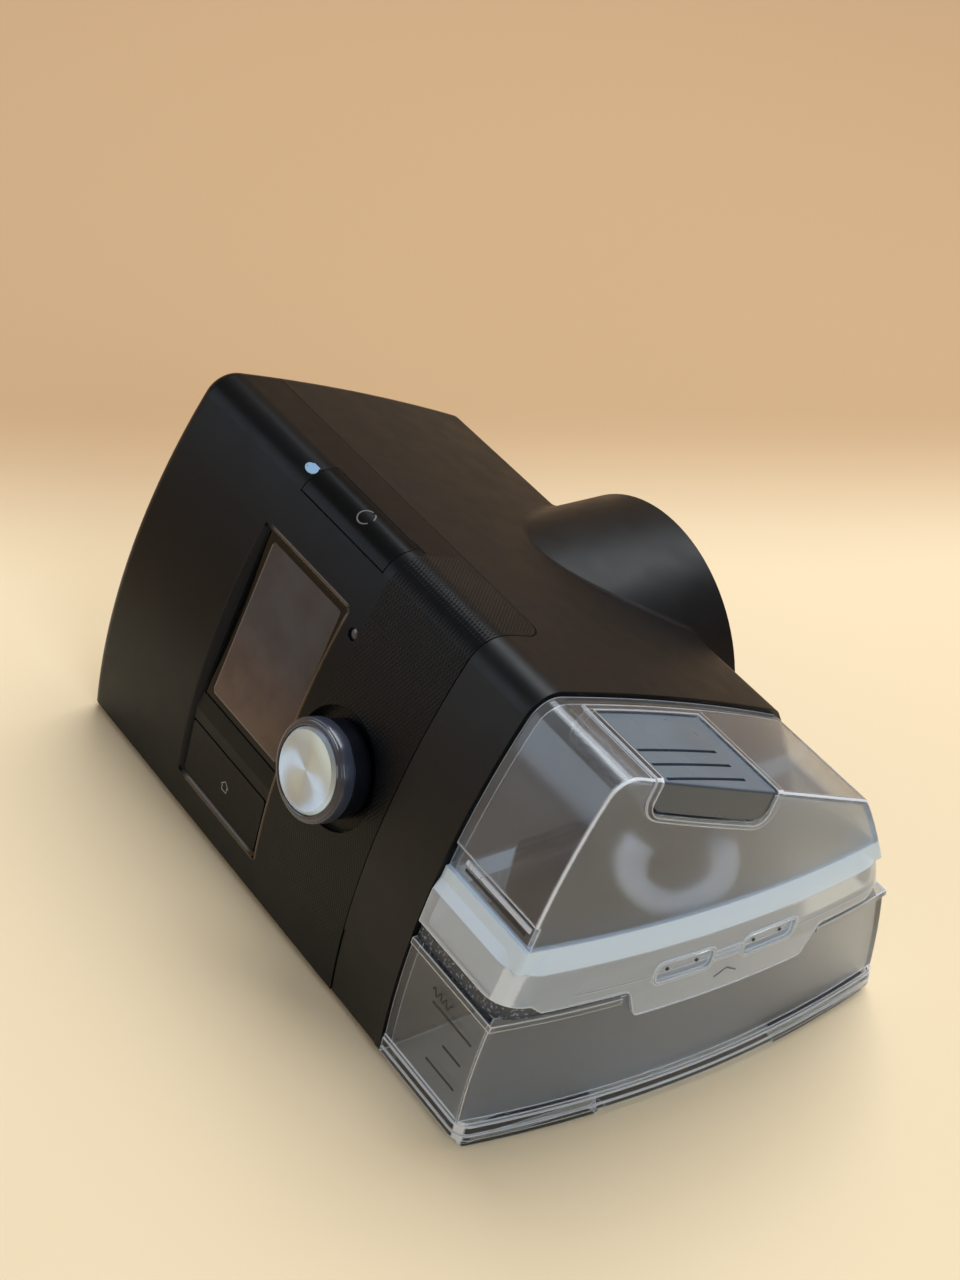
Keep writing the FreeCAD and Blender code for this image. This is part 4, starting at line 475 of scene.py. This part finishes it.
def make_materials():
    """All materials, by name."""
    made = {
        # the blue cast of the case's and the keys' black is painted, standing in for cool reflected light
        "case_black": moulded("case_black", (0.0016, 0.0026, 0.0040), 0.39,
                              Specular_IOR_Level=0.27),
        "fascia_black": fascia_material(),
        "key_black": moulded("key_black", (0.0018, 0.0024, 0.0032), 0.26, Specular_IOR_Level=0.13),
        "screen_gloss": moulded("screen_gloss", (0.003, 0.003, 0.003), 0.10, depth=0.0000003,
                                Specular_IOR_Level=0.22),
        "dial_metal": spun_metal(),
        "dial_smoke": moulded("dial_smoke", (0.036, 0.042, 0.062), 0.20, Coat_Weight=0.5,
                              Coat_Roughness=0.08),
        "dial_black": moulded("dial_black", (0.030, 0.034, 0.048), 0.30, depth=0.000002,
                              Metallic=0.85),
        "tub_clear": clear_plastic("tub_clear", (0.75, 0.81, 0.91), 0.015, frosted=(0.008, 0.045)),
        "tub_frost": clear_plastic("tub_frost", (0.86, 0.90, 0.95), 0.04, frosted=(0.067, 0.2),
                                   ledge=True),
        "tub_haze": clear_plastic("tub_haze", (0.88, 0.92, 1.0), 0.62, 0.3),
        "tub_seal": seal_material(),
        "latch_blue": latch_material(),
        "heater_metal": moulded("heater_metal", (0.55, 0.55, 0.56), 0.35, Metallic=1.0),
        "steel": moulded("steel", (0.50, 0.50, 0.50), 0.30, Metallic=1.0),
        "board_green": moulded("board_green", (0.01, 0.08, 0.035), 0.35),
        "part_black": moulded("part_black", (0.012, 0.012, 0.012), 0.45),
        "part_grey": moulded("part_grey", (0.25, 0.26, 0.27), 0.45),
        "part_white": moulded("part_white", (0.70, 0.70, 0.69), 0.45),
        "soft_black": moulded("soft_black", (0.014, 0.014, 0.014), 0.75, depth=0.00003),
        "filter_white": moulded("filter_white", (0.80, 0.80, 0.78), 0.95, grain=0.0008,
                                depth=0.0002),
        # pale blue painted as the glint on the light pipe's lens
        "clear_light": moulded("clear_light", (0.28, 0.45, 0.66), 0.22, Coat_Weight=0.5,
                               Coat_Roughness=0.05),
        "rim_gloss": rim_material(),
        "print_grey": moulded("print_grey", (0.15, 0.135, 0.125), 0.5),
        "print_pale": moulded("print_pale", (0.34, 0.33, 0.32), 0.45),
        "lcd_glass": lcd_material(),
        "ink_dark": moulded("ink_dark", (0.020, 0.021, 0.024), 0.5),
    }
    return {name: shade.mat for name, shade in made.items()}


# ---- Mesh helpers -------------------------------------------------------------------------
def turned_mesh(name, profile, segments):
    """Mesh of a profile of (radius, height) pairs turned about the local Z axis."""
    bm = bmesh.new()
    rings = []
    for r, z in profile:
        if r < 1e-9:
            rings.append([bm.verts.new((0, 0, z))])
            continue
        turns = (2 * math.pi * i / segments for i in range(segments))
        rings.append([bm.verts.new((r * math.cos(t), r * math.sin(t), z)) for t in turns])
    for low, high in zip(rings, rings[1:]):
        for i in range(segments):
            j = (i + 1) % segments
            corners = [low[i % len(low)], low[j % len(low)],
                       high[j % len(high)], high[i % len(high)]]
            unique = list(dict.fromkeys(corners))
            if len(unique) > 2:
                bm.faces.new(unique)
    mesh = bpy.data.meshes.new(name)
    finish_mesh(bm, mesh)
    return mesh


def finish_mesh(bm, mesh, sharp=35):
    """Write the built faces into the mesh, smooth up to a sharp angle in degrees."""
    bmesh.ops.recalc_face_normals(bm, faces=bm.faces)
    bm.to_mesh(mesh)
    bm.free()
    for face in mesh.polygons:
        face.use_smooth = True
    mesh.set_sharp_from_angle(angle=math.radians(sharp))


def add_piece(name, mesh, material, body, matrix=None, replaces=()):
    """Piece of the visual model, riding on its body and in its material slot."""
    piece = bpy.data.objects.new(name, mesh)
    bpy.context.scene.collection.objects.link(piece)
    if matrix is not None:
        piece.matrix_world = matrix
    mesh.materials.append(materials[material])
    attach(piece, body)
    if replaces:
        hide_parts(*replaces)


BRIDGE = ((0.4, 0), (-0.4, 0), (0, 0.4), (0, -0.4))   # where a gap's neighbours are felt
PLATE_SINK = -0.05           # how far the foot of a plate is sunk
RIBBON_SINK = -0.1           # and that of a ribbon
# Section of a ribbon: shares of half its width and of its height, None where it is sunk.
RIBBON_SIDES = ((-1, None), (-1, 0.6), (-0.7, 1), (0.7, 1), (1, 0.6), (1, None))


class Skin:
    """A plane over the surface of CAD nodes: flat shapes drawn on it drop onto the surface."""

    def __init__(self, nodes, origin, right, up, reach=30):
        bm = bmesh.new()
        for name in nodes:
            bm.from_mesh(frame["nodes"][name].data)
        self.tree = BVHTree.FromBMesh(bm)
        bm.free()
        self.origin, self.right = origin, right.normalized()
        self.up = (up - self.right * up.dot(self.right)).normalized()
        self.out = self.right.cross(self.up)
        self.reach = reach * MM

    def height(self, a, b):
        """Height of the surface over the skin's plane at (a, b), or a very low one."""
        start = self.origin + (self.right * a + self.up * b) * MM + self.out * self.reach
        hit = self.tree.ray_cast(start, -self.out, 3 * self.reach)[0]
        return (hit - self.origin).dot(self.out) if hit else -1.0

    def drop(self, a, b, lift=0.0):
        """Point over (a, b) in millimetres, on the surface or lift off it; gaps are bridged."""
        level = self.height(a, b)
        beside = max(self.height(a + da, b + db) for da, db in BRIDGE)
        if level < beside - MM:
            level = beside
        flat = self.origin + (self.right * a + self.up * b) * MM
        return flat + self.out * (level + lift * MM)


def front_skin(nodes):
    """Skin over the front, whose (a, b) are the machine's X and Z."""
    return Skin(nodes, at(0, -95, 0), Vector((1, 0, 0)), Vector((0, 0, 1)))


def end_skin(nodes, reach):
    """Skin over the tub's end, whose (a, b) are the machine's Y and Z."""
    return Skin(nodes, at(130, 0, 0), Vector((0, 1, 0)), Vector((0, 0, 1)), reach)


def join_rows(bm, first, second):
    """Faces between two closed rows of vertices."""
    for j in range(len(first)):
        k = (j + 1) % len(first)
        bm.faces.new((first[j], first[k], second[k], second[j]))


def ribbon(name, skin, paths, width, height, material, body):
    """Raised lines along flat paths of (a, b) points, dropped onto a skin as closed strips."""
    bm = bmesh.new()
    for path in paths:
        closed = path[0] == path[-1]
        points = path[:-1] if closed else path
        count = len(points)
        rows = []
        for i, (a, b) in enumerate(points):
            before = points[i - 1] if closed or i > 0 else points[i]
            after = points[(i + 1) % count] if closed or i < count - 1 else points[i]
            da, db = after[0] - before[0], after[1] - before[1]
            size = math.hypot(da, db)
            side = (-db / size * width / 2, da / size * width / 2)
            row = []
            for sign, share in RIBBON_SIDES:
                lift = RIBBON_SINK if share is None else height * share
                row.append(bm.verts.new(skin.drop(a + side[0] * sign, b + side[1] * sign, lift)))
            rows.append(row)
        pairs = list(zip(rows, rows[1:] + rows[:1])) if closed else list(zip(rows, rows[1:]))
        for first, second in pairs:
            join_rows(bm, first, second)
        if not closed:
            bm.faces.new(rows[0])
            bm.faces.new(rows[-1][::-1])
    mesh = bpy.data.meshes.new(name)
    finish_mesh(bm, mesh)
    add_piece(name, mesh, material, body)


def plate(name, skin, outline, height, material, body):
    """Thin raised plate with a flat outline of (a, b) points, dropped onto a skin."""
    bm = bmesh.new()
    top = [bm.verts.new(skin.drop(a, b, height)) for a, b in outline]
    foot = [bm.verts.new(skin.drop(a, b, PLATE_SINK)) for a, b in outline]
    bm.faces.new(top)
    bm.faces.new(foot[::-1])
    join_rows(bm, foot, top)
    mesh = bpy.data.meshes.new(name)
    finish_mesh(bm, mesh)
    add_piece(name, mesh, material, body)


def bow(centre, r, start, stop, steps=24):
    """Points of an arc between two angles in degrees."""
    turns = [math.radians(start + (stop - start) * i / steps) for i in range(steps + 1)]
    return [(centre[0] + r * math.cos(t), centre[1] + r * math.sin(t)) for t in turns]


def rounded(a0, a1, b0, b1, r):
    """Closed outline of a rectangle with rounded corners, its sides cut into parts."""
    corners = [((a1 - r, b0 + r), -90, 20), ((a1 - r, b1 - r), 0, 10),
               ((a0 + r, b1 - r), 90, 20), ((a0 + r, b0 + r), 180, 10)]
    arcs = [bow(centre, r, start, start + 90, 6) for centre, start, _ in corners]
    outline = []
    for i, arc in enumerate(arcs):
        outline += arc + between(arc[-1], arcs[(i + 1) % 4][0], corners[i][2])
    return outline


def between(first, last, count):
    """The points that cut the way between two points into count parts."""
    return [(first[0] + (last[0] - first[0]) * i / count,
             first[1] + (last[1] - first[1]) * i / count) for i in range(1, count)]


def line(first, last, count=6):
    """Points of a straight line, cut into count parts."""
    return [first] + between(first, last, count) + [last]


# ---- Dial ---------------------------------------------------------------------------------
CAP_R = 11.8
RING_R = 14.2
RING_FOOT = -5.1
# Profiles are (radius, height over the cap's face) in millimetres.
CAP_PROFILE = ((0, -0.40), (6, -0.30), (10.2, -0.14), (10.55, -0.02), (10.85, 0.0),
               (11.2, -0.30), (CAP_R, -0.90), (CAP_R, -2.5), (0, -2.5))
RING_PROFILE = ((CAP_R + 0.12, -2.6), (CAP_R + 0.12, -0.75), (12.35, -0.55), (12.55, -0.85),
                (12.9, -0.80), (13.55, -1.10), (13.65, -1.45), (14.0, -1.55), (RING_R, -1.9),
                (RING_R, RING_FOOT), (CAP_R + 0.5, RING_FOOT), (CAP_R + 0.5, -2.6),
                (CAP_R + 0.12, -2.6))


def dial_place():
    """Matrix whose origin is the middle of the cap's face and whose Z points out of it."""
    turn = JOINTS["dial_turn"]
    out = -Vector(turn["axis"])
    centre = Vector(turn["pos_m"])
    reach = max((v.co - centre).dot(out) for v in frame["nodes"]["dial_cap"].data.vertices)
    side = Vector((1, 0, 0))
    turned = Matrix((side, out.cross(side), out)).transposed().to_4x4()
    return Matrix.Translation(centre + out * reach) @ turned


def make_dial():
    """The turned cap and the stepped smoke ring round it, in place of their plain nodes."""
    place = dial_place()
    for name, profile, finish, node in (
            ("dial_cap_disc", CAP_PROFILE, "dial_metal", "dial_cap"),
            ("dial_smoke_ring", RING_PROFILE, "dial_smoke", "dial_ring")):
        mesh = turned_mesh(name, [(r * MM, z * MM) for r, z in profile], 128)
        add_piece(name, mesh, finish, "dial", place, [node])


# ---- Screen, keys and marks on the fascia -------------------------------------------------
WINDOW = (-51.6, -9.8, 14.3, 97.8)     # left, right, foot and head of the display recess
WINDOW_R = 1.4
RIM_OUT = 0.9
RIM_IN = 1.15
RIM_T = 0.4


def make_window_rim():
    """Smooth slope from the fascia's face down to the flat floor of the display recess."""
    skin = front_skin(["front_fascia"])
    x0, x1, z0, z1 = WINDOW
    rows = []
    for grow, lift in ((RIM_OUT, 0.0), (RIM_OUT / 2, 0.05), (0.04, 0.07), (-RIM_IN, 0.02)):
        outline = rounded(x0 - grow, x1 + grow, z0 - grow, z1 + grow, WINDOW_R + grow)
        rows.append([skin.drop(a, b, lift) for a, b in outline])
    for row in (rows[-1], rows[0]):
        rows.append([p + Vector((0, RIM_T * MM, 0)) for p in row])
    bm = bmesh.new()
    rows = [[bm.verts.new(p) for p in row] for row in rows]
    for first, second in zip(rows, rows[1:] + rows[:1]):
        join_rows(bm, first, second)
    mesh = bpy.data.meshes.new("window_rim")
    finish_mesh(bm, mesh, 75)
    add_piece("window_rim", mesh, "rim_gloss", "chassis")


LCD_MARGINS = (2.6, 1.0, 2.4, 1.6)     # left, right, foot and head of the glass


def make_screen():
    """The unlit display area under the glass and the pale line along its left side and foot."""
    skin = front_skin(["screen_glass"])
    low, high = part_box("screen_glass")
    a0, a1 = (low[0] - MIDDLE.x) / MM + LCD_MARGINS[0], (high[0] - MIDDLE.x) / MM - LCD_MARGINS[1]
    b0, b1 = low[2] / MM + LCD_MARGINS[2], high[2] / MM - LCD_MARGINS[3]
    plate("lcd_area", skin, rounded(a0, a1, b0, b1, 0.8), 0.03, "lcd_glass", "chassis")
    edge = line((a0, b1 - 1), (a0, b0 + 1)) + line((a0 + 0.8, b0), (a1 - 1, b0))
    ribbon("lcd_border", skin, [edge], 0.5, 0.05, "print_grey", "chassis")


PIPE_LENS = ((-48.9, 0.0), 2.5, 1.6)
KEY_LIP = ((-46.3, 6.55), (-4.2, 6.55))


def shoulder_skin(nodes):
    """Skin that looks along the start key's travel, centred on the key across Y and Z."""
    press = JOINTS["start_press"]
    out = -Vector(press["axis"])
    low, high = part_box("start_stop_button")
    middle = Vector((MIDDLE.x, (low[1] + high[1]) / 2, (low[2] + high[2]) / 2))
    side = Vector((1, 0, 0))
    return Skin(nodes, middle, side, out.cross(side), 12)


def make_light_lens():
    """Oval lens over the end of the light pipe, beside the start key, whose pale blue is a painted glint."""
    skin = shoulder_skin(["light_pipe", "front_fascia"])
    (x, rise), half_w, half_h = PIPE_LENS
    oval = [(x + half_w * math.cos(t), rise + half_h * math.sin(t))
            for t in (2 * math.pi * i / 32 for i in range(32))]
    plate("light_lens", skin, oval, 0.05, "clear_light", "chassis")


def make_key_lip():
    """Low lip along the back of the start key, which catches the light at its ends."""
    skin = shoulder_skin(["front_fascia"])
    ribbon("key_lip", skin, [line(*KEY_LIP, 12)], 0.8, 0.22, "key_black", "chassis")


START_MARK = (-23.5, 1.2)
START_MARK_R = 2.5
HOME_MARK = (-30.0, 24.4)


def make_key_marks():
    """Generic standby ring on the start key and a small house on the home key."""
    skin = shoulder_skin(["start_stop_button"])
    ring = [bow(START_MARK, START_MARK_R, 100, 335), bow(START_MARK, START_MARK_R, 15, 75)]
    ribbon("start_mark", skin, ring, 0.42, 0.04, "print_grey", "start_key")
    keys = front_skin(["home_button"])
    x, z = HOME_MARK
    house = [(x - 1.8, z), (x, z + 1.7), (x + 1.8, z)]
    walls = [(x - 1.2, z + 0.1), (x - 1.2, z - 1.6), (x + 1.2, z - 1.6), (x + 1.2, z + 0.1)]
    ribbon("home_mark", keys, [house, walls], 0.38, 0.05, "print_pale", "home_key")


# ---- Marks and mouldings of the tub -------------------------------------------------------
SLOT_MIDDLES = (-18.0, 11.0)
SLOT_MIDDLE_Z = 50.7
SLOT_PINS = (-5, 4.5)        # from the slot's middle
CARET = ((-5.5, 42.2), (-1.8, 44.4), (1.9, 42.2))
NECK_SHADE_LINE = ((63.5, 69.6), (89.0, 69.6))
NECK_BAR = ((63.0, 71.6), (90.2, 71.6))
FILL_LINES = (((71.4, 33.4), (88.6, 33.4)), ((79.4, 25.0), (87.2, 25.0)),
              ((74.8, 16.4), (87.4, 16.4)))


def make_tub_marks():
    """The fill marks, the lid's neck bar with a black line painted as the shade of its groove, the tongue's caret
    and the slots' pins.
    """
    front = front_skin(["tub_base"])
    ribbon("fill_lines", front, [line(*ends) for ends in FILL_LINES], 0.7, 0.12, "ink_dark",
           "tub")
    neck = front_skin(["tub_lid"])
    # black line painted as the shade in the groove along the lid's neck
    ribbon("neck_groove_shade", neck, [line(*NECK_SHADE_LINE)], 0.9, 0.08, "ink_dark", "tub")
    ribbon("neck_bar", neck, [line(*NECK_BAR)], 1.3, 0.45, "tub_haze", "tub")
    wave = [(70.2 + i * 0.35, 36.6 + 1.1 * math.sin(i * 0.9)) for i in range(24)]
    ribbon("fill_wave", front, [wave], 0.55, 0.10, "ink_dark", "tub")
    end = end_skin(["tub_lid"], 20)
    ribbon("tongue_mark", end, [CARET], 0.45, 0.15, "print_grey", "tub")
    for i, middle in enumerate(SLOT_MIDDLES):
        for j, shift in enumerate(SLOT_PINS):
            pin = bow((middle + shift, SLOT_MIDDLE_Z), 0.5, 0, 360, 12)[:-1]
            plate("slot_pin_%d_%d" % (i, j), end, pin, 0.35, "ink_dark", "tub")


BAFFLE_AT = (-22.4, 80.0)    # middle of the baffle across the end wall, as (Y, Z)
BAFFLE_WIDE = (15.7, -4.5)   # its oval's two half lengths across that wall
BAFFLE_HIGH = (-1.2, 12.4)
BAFFLE_TUBE = (0.30, 2.4)    # half its width as a share of those, and half its thickness
BAFFLE_SWEEP = (-215, 250)   # where its arc starts and how far it turns, in degrees
BAFFLE_STEPS = 72
BAFFLE_SIDES = 14
BAFFLE_DEPTH = 6.0           # how far it lies behind the face of the wall
WALL_FOOT = 69.0             # where that face begins, over the ledge


def make_air_baffle():
    """Round air baffle behind the frosted end wall, open at its top, at one depth all round."""
    wall = end_skin(["tub_lid"], 40)
    bm = bmesh.new()
    rows = []
    for i in range(BAFFLE_STEPS + 1):
        t = math.radians(BAFFLE_SWEEP[0] + BAFFLE_SWEEP[1] * i / BAFFLE_STEPS)
        row = []
        for j in range(BAFFLE_SIDES):
            u = 2 * math.pi * j / BAFFLE_SIDES
            r = 1 + BAFFLE_TUBE[0] * math.cos(u)
            spot = [middle + r * (wide * math.cos(t) + high * math.sin(t))
                    for middle, wide, high in zip(BAFFLE_AT, BAFFLE_WIDE, BAFFLE_HIGH)]
            over = max(spot[1], WALL_FOOT)
            point = wall.drop(spot[0], over, BAFFLE_TUBE[1] * math.sin(u) - BAFFLE_DEPTH)
            row.append(bm.verts.new(point + Vector((0, 0, spot[1] - over)) * MM))
        rows.append(row)
    for first, second in zip(rows, rows[1:]):
        join_rows(bm, first, second)
    bm.faces.new(rows[0])
    bm.faces.new(rows[-1][::-1])
    mesh = bpy.data.meshes.new("air_baffle")
    finish_mesh(bm, mesh, 60)
    add_piece("air_baffle", mesh, "tub_haze", "tub")


# ---- Build --------------------------------------------------------------------------------
NODE_FINISH = {"tub_lid": "tub_frost"}     # nodes whose finish isn't named as their slot

make_camera()
make_stage()
make_lights()
materials = make_materials()
for name, node in frame["nodes"].items():
    node.data.materials.clear()
    node.data.materials.append(materials[NODE_FINISH.get(name, SLOT_OF[name])])
make_dial()
make_window_rim()
make_screen()
make_light_lens()
make_key_lip()
make_key_marks()
make_tub_marks()
make_air_baffle()

bpy.context.scene.view_settings.view_transform = "Standard"
